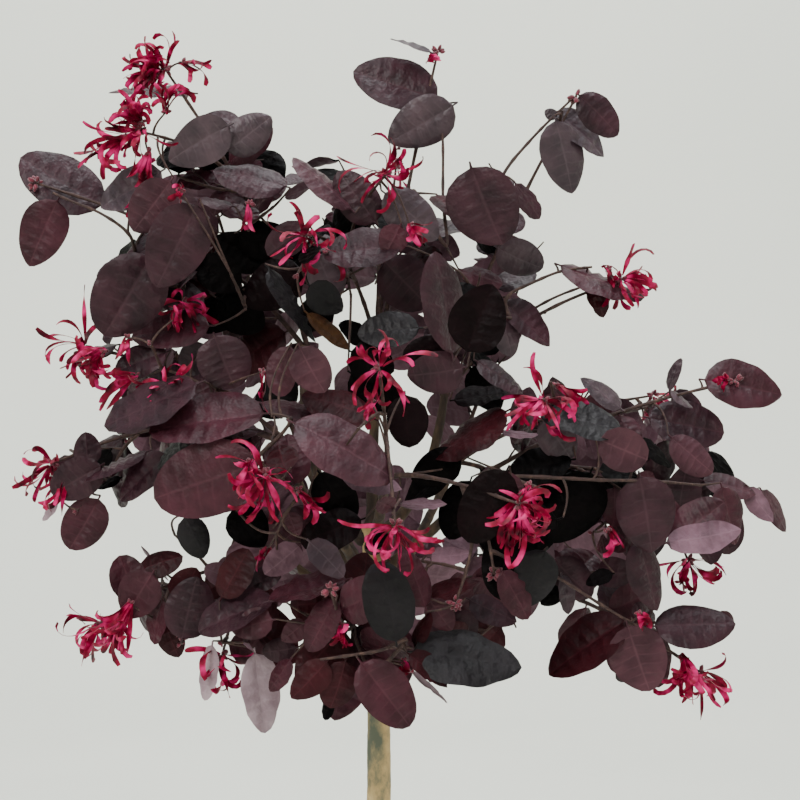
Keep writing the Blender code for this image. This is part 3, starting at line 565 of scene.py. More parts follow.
# The leaves that face the camera in front: foot and tip of the blade and its width as the camera sees them,
# in eight-hundredths of the picture, and then how far away the leaf is, in mm
frontLeaves = {
    "darkPurple": (
        (284, 186, 214, 166, 34, -36), (240, 124, 203, 113, 18, -30), (190, 93, 108, 87, 15, 4),
        (166, 352, 113, 368, 30, -30), (116, 345, 70, 352, 11, -28), (88, 466, 84, 432, 28, -30),
        (146, 452, 83, 472, 13, -32), (100, 466, 52, 496, 42, -30), (305, 226, 268, 256, 34, -48),
        (400, 246, 322, 250, 36, -60), (516, 184, 541, 218, 16, -12), (462, 368, 408, 380, 44, -78),
        (478, 362, 525, 390, 22, -66), (650, 418, 726, 432, 42, -12), (640, 478, 655, 553, 60, -70),
        (182, 638, 196, 577, 50, -52), (272, 600, 196, 628, 30, -78), (295, 648, 262, 654, 26, -70),
        (470, 600, 517, 622, 30, -70), (385, 262, 428, 306, 54, -30), (232, 206, 193, 198, 12, -34),
        (280, 570, 245, 590, 24, -62), (555, 560, 590, 600, 40, -30), (165, 455, 118, 500, 30, -40),
        (196, 206, 158, 288, 62, -62), (150, 257, 108, 338, 72, -46), (375, 222, 338, 170, 42, -45),
        (472, 169, 498, 246, 72, -52), (452, 352, 442, 250, 36, -80), (195, 385, 102, 425, 36, -74),
        (215, 337, 232, 389, 54, -66), (580, 96, 621, 132, 34, 0), (436, 99, 353, 70, 46, 6),
        (505, 303, 551, 345, 32, -20), (656, 626, 736, 622, 40, -46), (640, 542, 656, 612, 34, -56),
        (101, 204, 17, 160, 54, 6),
    ),
    # Leaves facing up to the light: their gloss is the shader's own, and their greyer, lighter tone is painted sheen
    "sheenGreyPurple": (
        (228, 126, 167, 158, 48, -40), (318, 256, 338, 300, 40, -30), (160, 172, 101, 209, 42, -30),
        (386, 194, 440, 236, 44, -56), (556, 122, 576, 192, 42, -8), (430, 52, 391, 35, 8, 4),
        (498, 248, 541, 272, 38, 4), (500, 312, 515, 356, 26, -26), (556, 113, 609, 150, 30, 2),
        (670, 390, 677, 357, 11, -12), (671, 391, 693, 408, 9, -14), (620, 408, 584, 374, 22, -34),
        (545, 420, 571, 460, 38, -50), (310, 542, 346, 575, 30, -96), (562, 576, 572, 614, 14, -40),
        (205, 345, 183, 374, 32, -20), (540, 530, 515, 600, 46, -48), (556, 118, 545, 110, 12, -2),
        (452, 106, 391, 146, 50, -6), (228, 150, 272, 117, 40, -34),
    ),
    "paleWine": (
        (170, 182, 134, 232, 46, -44), (258, 432, 190, 444, 20, -66), (296, 424, 398, 470, 52, -122),
        (300, 348, 322, 394, 40, -96), (600, 440, 648, 460, 44, -74), (628, 627, 648, 692, 58, -64),
        (350, 208, 296, 153, 22, -46), (672, 438, 713, 473, 30, -26), (704, 481, 758, 490, 22, -18),
        (762, 491, 790, 530, 20, -8),
    ),
    "wine": (
        (57, 202, 26, 265, 48, -6), (138, 598, 118, 556, 38, -36), (722, 488, 737, 545, 34, -40),
        (256, 464, 153, 500, 76, -94), (98, 500, 72, 551, 44, -24), (208, 326, 130, 332, 40, -26),
        (562, 266, 645, 297, 24, -16), (706, 380, 784, 391, 44, -10), (152, 574, 124, 616, 44, -46),
        (162, 600, 148, 643, 24, -44), (272, 620, 231, 628, 32, -84), (345, 580, 268, 598, 30, -88),
        (335, 600, 308, 652, 30, -98), (305, 622, 282, 642, 24, -84), (425, 606, 406, 546, 34, -102),
        (430, 600, 450, 632, 28, -94), (502, 572, 531, 618, 28, -116), (262, 403, 314, 411, 17, -70),
        (462, 270, 503, 284, 18, -30), (400, 226, 385, 256, 30, -62), (290, 347, 275, 396, 30, -90),
        (290, 660, 268, 690, 18, -80), (672, 540, 726, 502, 42, -50), (362, 664, 410, 727, 52, -112),
        (262, 414, 148, 427, 44, -80),
    ),
    "redWine": (
        (205, 415, 246, 440, 26, -72), (372, 418, 304, 388, 34, -74), (140, 570, 181, 552, 26, -24),
        (222, 597, 248, 549, 32, -72), (326, 662, 294, 701, 34, -104), (345, 662, 334, 710, 38, -102),
        (415, 645, 426, 611, 18, -96), (430, 602, 476, 574, 26, -86), (624, 622, 545, 669, 48, -56),
        (410, 655, 450, 684, 26, -108), (165, 624, 178, 658, 28, -40), (505, 412, 430, 452, 38, -60),
        (588, 275, 603, 318, 20, -12),
    ),
    # Wine leaves deep in the crown, drawn almost black: painted shade
    "shadedWine": (
        (455, 400, 512, 392, 24, -56), (445, 345, 402, 355, 30, -66), (405, 396, 408, 448, 42, -78),
        (467, 350, 495, 285, 58, -86), (360, 520, 300, 542, 40, -84), (506, 472, 470, 544, 54, -118),
        (300, 270, 240, 300, 50, -20),
    ),
    # Leaves in the crown's shade, drawn near black: painted shade
    "shadeBlack": (
        (265, 262, 213, 240, 40, -8), (120, 478, 97, 488, 11, -26), (235, 508, 264, 547, 42, -62),
        (460, 458, 410, 476, 38, -58), (570, 460, 505, 472, 36, -50), (590, 474, 560, 546, 56, -48),
        (352, 352, 394, 372, 44, -58), (352, 374, 400, 408, 46, -52), (390, 536, 365, 549, 16, -84),
        (320, 474, 352, 520, 42, -74), (612, 574, 585, 582, 17, -44), (560, 588, 542, 606, 20, -40),
        (640, 440, 672, 466, 18, -40), (330, 300, 300, 330, 34, -44), (450, 470, 400, 500, 30, -50),
        (600, 470, 640, 474, 22, -44), (330, 698, 324, 720, 12, -92), (220, 300, 262, 330, 44, -10),
        (240, 235, 300, 250, 40, -14), (200, 260, 238, 290, 40, -24), (556, 520, 480, 546, 58, -82),
        (524, 596, 488, 538, 54, -106), (470, 482, 450, 540, 40, -42),
    ),
    "oldLeaf": (
        (308, 314, 348, 350, 15, -66),
    ),
    # Dark grey leaves low and deep in the crown: painted shade
    "shadedSlate": (
        (620, 430, 540, 408, 36, -66), (418, 328, 357, 332, 34, -56), (198, 424, 152, 463, 19, -44),
        (310, 286, 342, 312, 34, -58), (270, 270, 322, 338, 24, -62), (396, 640, 386, 561, 50, -120),
        (185, 518, 206, 557, 32, -52), (415, 652, 522, 661, 54, -102), (545, 552, 520, 606, 44, -112),
    ),
    "lilac": (
        (255, 655, 264, 734, 42, -66), (212, 646, 204, 701, 20, -64), (412, 672, 448, 703, 9, -92),
        (58, 500, 41, 520, 9, -24),
    ),
    "underside": (
        (748, 488, 769, 524, 22, -14), (340, 468, 400, 494, 24, -108), (502, 432, 538, 438, 9, -58),
        (668, 543, 741, 535, 27, -60), (300, 545, 266, 576, 30, -78), (235, 581, 204, 568, 24, -30),
        (400, 505, 447, 508, 9, -80), (430, 556, 470, 560, 22, -80),
    ),
}

frontRule = {
    "naturalWidth": 0.70, "narrow": 0.92, "mostTilt": 74, "stalkShare": 0.085, "joined": 0.0006, "twigletSteps": 3,
    # A grown leaf is left out where it would cover a front leaf, not this far behind it and inside this share of
    # its oval, which is at least so wide; or where more places on it than these stand past the crown's edge
    "behind": 0.006, "covers": 0.8, "leastHalfWide": 8, "mostPastEdge": 2,
}
# The picture's middle, and what a step in it is in metres, seen from a metre away
picture = {"middle": 400, "step": 0.0005}


def pictureToPlace(x, y, away):
    eye = growth["viewpoint"]
    spread = picture["step"] * (1 + away * mm)
    return Vector((eye.x + (x - picture["middle"]) * spread, away * mm, eye.z + (picture["middle"] - y) * spread))


def placeToPicture(place):
    eye = growth["viewpoint"]
    spread = picture["step"] * (place.y - eye.y)
    return picture["middle"] + (place.x - eye.x) / spread, picture["middle"] - (place.z - eye.z) / spread


def frontLeaf(tint, row):
    footX, footY, tipX, tipY, wide, away = row
    foot = pictureToPlace(footX, footY, away)
    tip = pictureToPlace(tipX, tipY, away)
    along = (tip - foot).normalized()
    length = (tip - foot).length / (1 - frontRule["stalkShare"])
    base = tip - along * length
    towards = (growth["viewpoint"] - (foot + tip) / 2).normalized()
    normal = (towards - along * towards.dot(along)).normalized()
    share = wide * picture["step"] * (1 + away * mm) / (tip - foot).length
    halfShare = share / 2
    # A leaf that looks much narrower than leaves are is turned away
    if share < frontRule["naturalWidth"] * frontRule["narrow"]:
        halfShare = frontRule["naturalWidth"] / 2
        tilt = min(math.acos(share / frontRule["naturalWidth"]), math.radians(frontRule["mostTilt"]))
        across = along.cross(normal)
        # Turned to the sky rather than to the ground
        turned = normal * math.cos(tilt) + across * (math.sin(tilt) * (1 if across.z > 0 else -1))
        normal = turned.normalized()
    if tint == "underside":
        normal = -normal
    middle = ((footX + tipX) / 2, (footY + tipY) / 2)
    halfLong = math.hypot(tipX - footX, tipY - footY) / 2
    heading = ((tipX - footX) / (2 * halfLong), (tipY - footY) / (2 * halfLong))
    return PlacedLeaf(Leaf(base, along, normal, length), halfShare, tint, middle, halfLong, wide / 2, heading)


def nearestShoot(place):
    best = None
    for name, growing in plant.items():
        for shoot in growing["shoots"] + growing["twigs"] + growing["stems"]:
            for a, b in segmentsOf(shoot.points):
                run = b - a
                share = max(0.0, min(1.0, (place - a).dot(run) / run.length_squared))
                on = a + run * share
                apart = (place - on).length
                if best is None or apart < best[0]:
                    best = (apart, on, run.normalized(), name, shoot.points)
    return best


# Lines that carry a leaf or flower of the front, and the places where its twig joins them
carriers, joints = [], []


# Returns how long the twig is, in mm
def carry(place):
    apart, on, run, name, points = nearestShoot(place)
    carriers.append(points)
    joints.append(on)
    if apart > frontRule["joined"]:
        heading = run * 0.6 + (place - on).normalized()
        plant[name]["twiglets"].append(Shoot(curveBetween(on, heading, place, frontRule["twigletSteps"]), "leaf"))
    return round(apart / mm)


# Stems of the front that stand free, from tip to foot, each joined to the growth nearest its foot
frontStems = (
    ((437, 66, 4), (441, 104, 0), (443, 150, -8), (443, 200, -16), (446, 246, -26)),
    ((572, 99, 0), (548, 122, -2), (528, 143, -4), (506, 170, -10), (482, 216, -18)),
    ((592, 267, -14), (562, 271, -16), (532, 283, -18), (507, 297, -24)),
    ((36, 184, -10), (64, 198, -12), (100, 213, -16), (128, 233, -24)),
    ((200, 409, -98), (245, 412, -101), (290, 420, -104)),
    ((700, 485, -40), (650, 481, -66), (600, 480, -74), (560, 478, -76), (514, 477, -80)),
    ((640, 628, -60), (600, 604, -64), (562, 580, -66), (540, 570, -66)),
    ((300, 662, -107), (345, 656, -109), (382, 650, -109), (406, 640, -106)),
)
for row in frontStems:
    line = [pictureToPlace(*spot) for spot in reversed(row)]
    _, joint, _, name, _ = nearestShoot(line[0])
    joints.append(joint)
    plant[name]["stems"].append(Shoot([joint, *line], "leaf"))

front = [frontLeaf(tint, row) for tint, rows in frontLeaves.items() for row in rows]
frontTrees = [leafTree(placed.leaf) for placed in front]
apart = sorted(carry(placed.leaf.base) for placed in front)
print("front leaves:", len(front), "on twigs of", sum(apart) / len(apart), "mm, the longest", apart[-14:])

# More flowers of the front: knot as the camera sees it and how far away, where the petals point (right, down, back),
# their reach in mm, and how many there are
frontFlowers = (
    (128, 138, -38, (-1.0, 0.15, -0.3), 24, 15), (166, 112, -36, (0.1, -0.9, -0.4), 17, 11),
    (148, 152, -36, (-0.4, 0.9, -0.3), 18, 10), (182, 62, -10, (1.0, 0.35, -0.3), 15, 7),
    (160, 72, -14, (-0.4, -0.3, -0.6), 17, 18), (138, 126, -38, (-0.2, -0.8, -0.4), 18, 16),
    (104, 350, -44, (-0.7, -0.1, -0.4), 19, 10), (608, 270, -12, (0.5, 0.6, -0.2), 18, 8),
    (410, 226, -66, (0.3, 0.3, -0.8), 13, 9), (332, 254, -50, (0.9, 0.5, -0.4), 15, 5),
    (370, 402, -84, (0.0, 0.4, -0.8), 12, 8), (136, 376, -36, (-1.0, 0.3, -0.2), 20, 7),
    (128, 338, -48, (-0.1, 0.9, -0.4), 12, 5), (298, 490, -90, (0.6, 0.8, -0.4), 15, 8),
    (262, 372, -76, (0.0, 0.9, -0.5), 16, 3), (640, 612, -66, (0.3, 0.5, -0.7), 9, 7),
    (608, 528, -52, (0.3, 0.9, -0.4), 14, 5), (340, 625, -98, (0.1, 0.7, -0.6), 11, 8),
    (268, 548, -64, (-0.3, 0.2, -0.8), 12, 8), (556, 384, -58, (0.8, 0.1, -0.4), 14, 6),
    (405, 662, -92, (0.2, 0.8, -0.4), 8, 5), (176, 318, -62, (0.1, -0.2, -0.9), 12, 8),
    (178, 382, -62, (0.2, -0.3, -0.8), 9, 7), (250, 205, -44, (0.1, 0.9, -0.4), 14, 4),
    (180, 190, -66, (0.0, 0.2, -0.9), 8, 6), (132, 206, -34, (0.0, 0.2, -0.9), 6, 5),
    (530, 486, -118, (-0.3, 1.0, -0.2), 27, 18), (130, 604, -50, (-0.4, 0.8, -0.4), 24, 18),
    (682, 656, -42, (0.15, 0.6, -0.6), 23, 17), (120, 618, -42, (-0.3, 0.9, -0.3), 18, 9),
    (66, 478, -26, (-0.5, 0.5, -0.4), 16, 8), (434, 56, 6, (-0.2, 0.1, -0.7), 5, 9),
    (724, 378, -16, (-0.2, 0.1, -0.8), 6, 10), (268, 470, -112, (0.1, 0.9, -0.4), 24, 4),
    (156, 74, -16, (-0.7, 0.1, -0.6), 17, 12), (142, 122, -40, (-0.4, -0.4, -0.6), 17, 9),
    (102, 354, -46, (-0.4, 0.5, -0.5), 15, 9), (524, 492, -120, (-0.4, 1.0, -0.2), 24, 12),
    (684, 660, -44, (0.0, 0.6, -0.6), 17, 8), (252, 462, -112, (-0.1, 0.5, -0.7), 17, 8),
)
flowers = [
    PlacedFlower(pictureToPlace(x, y, away), Vector((right, back, -down)).normalized(), reach * mm, petals)
    for x, y, away, (right, down, back), reach, petals in frontFlowers]
apart = sorted(carry(flower.knot) for flower in flowers)
print("front flowers:", len(flowers), "on twigs of up to", apart[-6:], "mm")

# The crown's edge as the camera sees it: beside the front leaves, no other leaf reaches past it
crownEdge = (
    (100, 205), (150, 170), (165, 125), (190, 108), (240, 118), (270, 114), (262, 145), (252, 158), (280, 165),
    (292, 180), (298, 152), (320, 158), (345, 170), (372, 180), (372, 195), (400, 188), (440, 200), (442, 225),
    (450, 195), (462, 168), (498, 165), (518, 182), (524, 205), (512, 232), (496, 244), (525, 250), (541, 260),
    (540, 275), (520, 284), (508, 290), (512, 300), (535, 312), (552, 340), (545, 346), (520, 336), (515, 356),
    (490, 352), (520, 372), (540, 388), (578, 388), (582, 372), (592, 372), (600, 385), (625, 408), (640, 410),
    (675, 395), (700, 396), (722, 410), (727, 425), (715, 438), (700, 436), (712, 455), (712, 473), (725, 472),
    (745, 482), (740, 505), (745, 525), (738, 540), (725, 548), (705, 550), (680, 545), (660, 540), (664, 575),
    (668, 595), (700, 594), (735, 612), (735, 628), (715, 638), (680, 636), (668, 650), (668, 680), (640, 692),
    (618, 685), (608, 665), (612, 645), (590, 660), (560, 670), (546, 668), (552, 645), (572, 626), (596, 620),
    (560, 604), (540, 606), (528, 618), (515, 622), (500, 630), (520, 655), (490, 672), (455, 678), (436, 684),
    (420, 680), (420, 725), (400, 727), (370, 712), (335, 708), (322, 718), (318, 700), (294, 700), (285, 688),
    (268, 690), (240, 670), (215, 650), (200, 640), (178, 658), (160, 640), (130, 615), (104, 590), (108, 565),
    (130, 550), (170, 546), (182, 560), (180, 575), (205, 575), (220, 558), (245, 546), (258, 545), (262, 530),
    (238, 520), (205, 518), (206, 555), (190, 550), (172, 520), (155, 512), (152, 490), (120, 500), (95, 492),
    (98, 520), (75, 550), (55, 525), (50, 490), (70, 450), (80, 432), (95, 450), (140, 452), (155, 450),
    (178, 435), (150, 433), (148, 424), (103, 425), (130, 395), (115, 380), (110, 360), (85, 350), (100, 335),
    (86, 300), (95, 265), (140, 250), (138, 225), (105, 222),
)
# Gaps within it that stay open: middle and half sizes
crownGaps = (
    (217, 178, 10, 20), (218, 222, 14, 10), (320, 192, 18, 16), (328, 214, 14, 14), (356, 308, 15, 22),
    (375, 272, 5, 10), (180, 352, 13, 9), (202, 336, 9, 7), (222, 325, 8, 5), (270, 345, 12, 18),
    (290, 390, 9, 11), (501, 405, 8, 9), (516, 395, 6, 8), (480, 440, 20, 13), (516, 449, 20, 9),
    (425, 493, 20, 8), (433, 525, 14, 14), (305, 568, 11, 6), (215, 636, 12, 6), (273, 647, 10, 8),
    (580, 597, 16, 10), (612, 586, 8, 10), (652, 562, 7, 13), (577, 433, 9, 6), (436, 215, 8, 6), (470, 283, 9, 3),
)


def insideEdge(x, y):
    inside = False
    for (ax, ay), (bx, by) in zip(crownEdge, crownEdge[1:] + crownEdge[:1]):
        if (ay > y) != (by > y) and x < ax + (y - ay) * (bx - ax) / (by - ay):
            inside = not inside
    return inside and not any(((x - gx) / gw) ** 2 + ((y - gy) / gh) ** 2 < 1 for gx, gy, gw, gh in crownGaps)


def hidesFront(leaf, corners):
    nearest = min(corner.y for corner in corners)
    seen = [placeToPicture(corner) for corner in corners]
    for placed in front:
        if nearest > placed.leaf.base.y + frontRule["behind"]:
            continue
        headX, headY = placed.heading
        halfWide = max(placed.halfWide, frontRule["leastHalfWide"])
        for x, y in seen:
            dx, dy = x - placed.middle[0], y - placed.middle[1]
            long = (dx * headX + dy * headY) / placed.halfLong
            wide = (dy * headX - dx * headY) / halfWide
            if long * long + wide * wide < frontRule["covers"]:
                return True
    return False


def leafStays(leaf, tree):
    middle = leaf.base + leaf.along * (leaf.length * 0.5)
    corners = leafCorners(leaf)
    corners = [middle, *corners, *(middle.lerp(corner, 0.6) for corner in corners)]
    if sum(not insideEdge(*placeToPicture(corner)) for corner in corners) > frontRule["mostPastEdge"]:
        return False
    return not hidesFront(leaf, corners) and not any(tree.overlap(other) for other in frontTrees)


# What the plant carries between the solids' own shoots and leaves, in the same space: leaves on twiglets, and more
# leaves on the shoots
finer = {
    "seed": 900, "smallLeaf": (0.012, 0.024), "leafSpacing": 0.012, "leafStart": 0.6,
    "fillLength": (0.026, 0.044), "fillSpacing": 0.012, "fillStarts": (0.2, 0.8), "bareReach": 0.004,
}
twigletRule = {
    "spacing": 0.034, "starts": (0.3, 0.9), "lastStart": 1.0, "forward": (0.5, 1.2), "rise": 0.1,
    "length": (0.010, 0.022), "tested": (0.5, 1.0), "steps": 3, "endings": ("leaf",) * 7 + ("bud",),
}


# A side twig whose leaves all stand elsewhere is left out, unless it carries a leaf of the front
def bearsLeaves(twig, leaves):
    if any(twig.points is points for points in carriers):
        return True
    return any((leaf.base - a.lerp(b, s)).length < finer["bareReach"] for leaf in leaves
               for a, b in segmentsOf(twig.points) for s in (0.25, 0.75))


def growFiner(name):
    rng = random.Random(finer["seed"] + list(masses).index(name))
    growing = plant[name]
    bearers = growing["shoots"] + growing["twigs"]
    before = len(growing["leaves"])
    found = growing["found"][:1] + [row for row in growing["found"][1:] if leafStays(*row)]
    kept = len(found) - 1
    twiglets = sideTwigs(bearers, name, spaces, rng, twigletRule)

    def tryOne(shoot, share, side, lengths):
        place, tangent = placeAlong(shoot.points, share)
        count = len(found)
        addLeaf(found, place, tangent, side, rng.uniform(*lengths), name, spaces, rng)
        if len(found) > count and not leafStays(*found[-1]):
            found.pop()

    for twiglet in twiglets:
        count = max(1, round(lengthOf(twiglet.points) / finer["leafSpacing"]))
        side = rng.choice((-1, 1))
        for i in range(count):
            tryOne(twiglet, (i + finer["leafStart"]) / count, side, finer["smallLeaf"])
            side = -side
        if twiglet.endsIn == "leaf":
            tryOne(twiglet, growth["lastShare"], side * 0.3, finer["smallLeaf"])
    for shoot in bearers:
        count = round(lengthOf(shoot.points) / finer["fillSpacing"])
        side = rng.choice((-1, 1))
        for i in range(count):
            tryOne(shoot, (i + rng.uniform(*finer["fillStarts"])) / count, side, finer["fillLength"])
            side = -side
    leaves = [leaf for leaf, _ in found[1:]]
    growing["leaves"] = leaves
    # A bud that would stand in the sky is left out
    growing["twigs"] = [
        twig if insideEdge(*placeToPicture(twig.points[-1])) else twig._replace(endsIn="leaf")
        for twig in growing["twigs"] if bearsLeaves(twig, leaves)]
    growing["twiglets"] += [twiglet for twiglet in twiglets if bearsLeaves(twiglet, leaves)]
    return before, kept, len(leaves)


tally = [growFiner(name) for name in masses]
print("leaves before, kept, with the finer ones:", [sum(row[i] for row in tally) for i in range(3)])


# Materials

# Evergreen leaf, a thin leathery cuticle over a downy skin: satin, dark, with sunken veins a little paler than it
def leafMaterial(name, dark, light, roughness, gloss, veins, sheen=0.0):
    made, tree, shader = newMaterial(name, {
        "IOR": 1.4, "Roughness": roughness, "Specular IOR Level": gloss,
        "Sheen Weight": sheen, "Sheen Roughness": 0.5, "Sheen Tint": linear("#b8a4ac")})
    where = addNode(tree, "TexCoord").outputs["Object"]
    # The blade's own coordinates: from rim to rim, and the number of the vein
    blade = addNode(tree, "Attribute", {"attribute_name": "blade"}).outputs["Vector"]
    parts = addNode(tree, "SeparateXYZ", None, {"Vector": blade})
    fromMidrib = addNode(tree, "Math", {"operation": "ABSOLUTE"}, {0: parts.outputs["X"]})
    midrib = addNode(tree, "MapRange", {"From Max": 0.07, "To Min": 1.0, "To Max": 0.0}, {"Value": fromMidrib})
    stray = addNode(tree, "TexNoise", {"Scale": 180.0, "Detail": 1.0}, {"Vector": where})
    strayed = addNode(tree, "Math", {"operation": "MULTIPLY_ADD", 1: 0.4}, {0: stray, 2: parts.outputs["Y"]})
    fromVein = addNode(tree, "Math", {"operation": "PINGPONG", 1: 0.5}, {0: strayed})
    # Side veins fade before the rim
    fading = addNode(tree, "MapRange", {"From Min": 0.2, "From Max": 0.9, "To Min": 0.6, "To Max": 0.0},
                     {"Value": fromMidrib})
    sideVein = addNode(tree, "MapRange", {"From Max": 0.12, "To Max": 0.0}, {"Value": fromVein, "To Min": fading})
    vein = addNode(tree, "Math", {"operation": "MAXIMUM"}, {0: midrib, 1: sideVein})
    share = addNode(tree, "Math", {"operation": "MULTIPLY", 1: 0.15}, {0: vein})
    # Blotches 14 mm across, and the raised net between the veins, 1.6 mm across
    blotch = addNode(tree, "TexNoise", {"Scale": 70.0, "Detail": 3.0}, {"Vector": where})
    colour = addNode(tree, "ValToRGB", None, {"Fac": blotch}, [(0.35, dark), (0.68, light)])
    mixed = addNode(tree, "Mix", {"data_type": "RGBA", 7: linear(veins)}, {0: share, 6: colour})
    net = addNode(tree, "TexVoronoi", {"Scale": 620.0, "feature": "F1"}, {"Vector": where})
    crumple = addNode(tree, "TexNoise", {"Scale": 180.0, "Detail": 2.0}, {"Vector": where})
    skin = addNode(tree, "Bump", {"Strength": 0.4, "Distance": 0.0003}, {"Height": net})
    folds = addNode(tree, "Bump", {"Strength": 0.6, "Distance": 0.0014}, {"Height": crumple, "Normal": skin})
    # The skin swells softly between the sunken veins
    soft = {"interpolation_type": "SMOOTHSTEP"}
    swell = addNode(tree, "MapRange", {**soft, "From Max": 0.4}, {"Value": fromVein})
    beside = addNode(tree, "MapRange", {**soft, "From Max": 0.25}, {"Value": fromMidrib})
    pillow = addNode(tree, "Math", {"operation": "MINIMUM"}, {0: swell, 1: beside})
    sunk = addNode(tree, "Bump", {"Strength": 0.4, "Distance": 0.0005}, {"Height": pillow, "Normal": folds})
    linkNode(tree, shader, {"Base Color": mixed.outputs[2], "Normal": sunk})
    return made


# Deep and light tone, roughness, gloss, and the tone of the veins
leafTints = {
    "darkPurple": ("#231017", "#3a1e27", 0.42, 0.3, "#6b4a52"),
    # Greyer and lighter than dark purple: painted sheen of the light from above, beside the shader's own gloss
    "sheenGreyPurple": ("#302229", "#4b383f", 0.40, 0.5, "#7e6a72"),
    "wine": ("#2e1119", "#451e29", 0.44, 0.3, "#7a4c56"),
    "paleWine": ("#351a22", "#4c2a33", 0.46, 0.3, "#8a5f69"),
    # Almost black wine, for leaves deep in the crown's shade: painted shade
    "shadedWine": ("#090203", "#120508", 0.46, 0.10, "#2a1217"),
    "redWine": ("#220409", "#360b13", 0.46, 0.22, "#70303c"),
    # Near black, for leaves in the crown's shade: painted shade
    "shadeBlack": ("#020101", "#080405", 0.5, 0.07, "#160e10"),
    "oldLeaf": ("#2c180b", "#402710", 0.55, 0.2, "#5a3a1c"),
    # Dark grey, for leaves in the crown's shade: painted shade
    "shadedSlate": ("#100d0f", "#1d191c", 0.46, 0.26, "#2f292e"),
    "lilac": ("#8a727b", "#ae98a0", 0.65, 0.3, "#c2b0b7"),
}
leafFinishes = {tint: leafMaterial("leaf_" + tint, *look) for tint, look in leafTints.items()}
# The underside is downy and pale, a lilac pink, and quite matt
underFinish = leafMaterial("leaf_underside", "#4f343e", "#71505d", 0.7, 0.4, "#9a7a86", sheen=0.2)


# Mottled skins: noise deals the tones, and a finer noise or the same one raises the relief
def mottledMaterial(name, settings, stops, mottle, relief=None, finer=None, stretch=None):
    made, tree, shader = newMaterial(name, settings)
    where = addNode(tree, "TexCoord").outputs["Object"]
    if stretch:
        where = addNode(tree, "Mapping", {"Scale": (1, 1, 1 / stretch)}, {"Vector": where})
    grain = addNode(tree, "TexNoise", mottle, {"Vector": where})
    linkNode(tree, shader, {"Base Color": addNode(tree, "ValToRGB", None, {"Fac": grain}, stops)})
    if finer:
        grain = addNode(tree, "TexNoise", finer, {"Vector": where})
    if relief:
        linkNode(tree, shader, {"Normal": addNode(tree, "Bump", relief, {"Height": grain})})
    return made


# Buds, calyxes, twigs, bark, compost, chips and perlite are matt and grainy, and differ in tones, grain and relief
def grainMaterial(name, stops, size, depth, roughness=0.8, stretch=1.0, sheen=0.0):
    return mottledMaterial(
        name, {"IOR": 1.45, "Roughness": roughness, "Sheen Weight": sheen}, stops,
        {"Scale": 1 / size, "Detail": 6.0, "Roughness": 0.6}, {"Strength": 0.6, "Distance": depth}, stretch=stretch)


# Petal: thin moist tissue, soft and faintly glossy, crimson pink in deep and light patches, creased every 0.5 mm
petalFinish = mottledMaterial(
    "petal_crimson", {"IOR": 1.38, "Roughness": 0.45, "Specular IOR Level": 0.22},
    [(0.30, "#34000f"), (0.50, "#86002c"), (0.70, "#e2307e")], {"Scale": 120.0, "Detail": 2.0},
    {"Strength": 0.3, "Distance": 0.0001}, {"Scale": 1900.0, "Detail": 2.0})
# Buds and calyxes: scales under a felt of short red hairs
budFinish = grainMaterial(
    "bud_skin", [(0.3, "#3c0c18"), (0.55, "#6e1a30"), (0.75, "#9a3a54")], 0.002, 0.0003, roughness=0.6, sheen=0.3)
# Young wood, brown and a little downy, then older wood with its lengthwise furrows, paler down the stem
twigFinish = grainMaterial(
    "young_twig", [(0.3, "#261715"), (0.55, "#402b27"), (0.78, "#694f43")], 0.003, 0.0003, roughness=0.75)
boughFinish = grainMaterial(
    "bough_skin", [(0.28, "#221c18"), (0.45, "#3d3128"), (0.62, "#5a4836"), (0.8, "#776046")],
    0.006, 0.0006, roughness=0.85, stretch=3.5)
barkFinish = grainMaterial(
    "stem_bark", [(0.36, "#5d6152"), (0.46, "#877d60"), (0.54, "#b89c6c"), (0.74, "#d9c08c")],
    0.011, 0.0006, roughness=0.85, stretch=1.6)


# Leaves

leafBlade = {
    # The blade widens fast from its foot and narrows to a point: powers of the way from either end
    "footPower": 0.43, "tipPower": (0.50, 0.72), "widthShare": (0.33, 0.40),
    "stalkShare": 0.085, "stalkRadius": 0.00045, "thickness": 0.00036, "midribGroove": 0.00035,
    "fold": (-0.06, 0.30), "recurve": (0.0, 0.22), "droop": (0.0, 0.16), "wave": (0.004, 0.020),
    "waves": (1.5, 3.2), "quilt": (0.012, 0.026), "crumple": 0.005, "veinSlant": 0.13, "twist": 0.4,
    "sway": 0.07, "skew": 0.06,
    # Placed leaves fold, droop and twist less, so that they look as wide as they were drawn
    "placedCalm": 0.8,
    "fineRings": 14, "plainRings": 8, "fineLength": 0.027,
}
# A cross-section of the blade: places over the top from rim to rim, then back under it
fineSection = ((-1, 1), (-0.66, 1), (-0.33, 1), (-0.07, 1), (0, 1), (0.07, 1), (0.33, 1), (0.66, 1), (1, 1),
               (0.66, -1), (0.33, -1), (0, -1), (-0.33, -1), (-0.66, -1))
plainSection = ((-1, 1), (-0.55, 1), (0, 1), (0.55, 1), (1, 1), (0.55, -1), (0, -1), (-0.55, -1))


def bladeFaces(section, rings):
    sides = len(section)
    faces, under = [tuple(range(sides))], [False]
    for i in range(rings - 1):
        low, high = i * sides, (i + 1) * sides
        for j in range(sides):
            k = (j + 1) % sides
            # The same diagonal above and below, so that the two skins never cross
            if abs(section[j][0]) > abs(section[k][0]):
                faces += [(low + j, high + j, high + k), (low + j, high + k, low + k)]
            else:
                faces += [(low + j, high + j, low + k), (high + j, high + k, low + k)]
            under += [i > 1 and (section[j][1] < 0 or section[k][1] < 0)] * 2
    last = rings * sides
    for j in range(sides):
        faces.append((last - sides + j, last, last - sides + (j + 1) % sides))
        under.append(section[j][1] < 0 or section[(j + 1) % sides][1] < 0)
    return faces, under


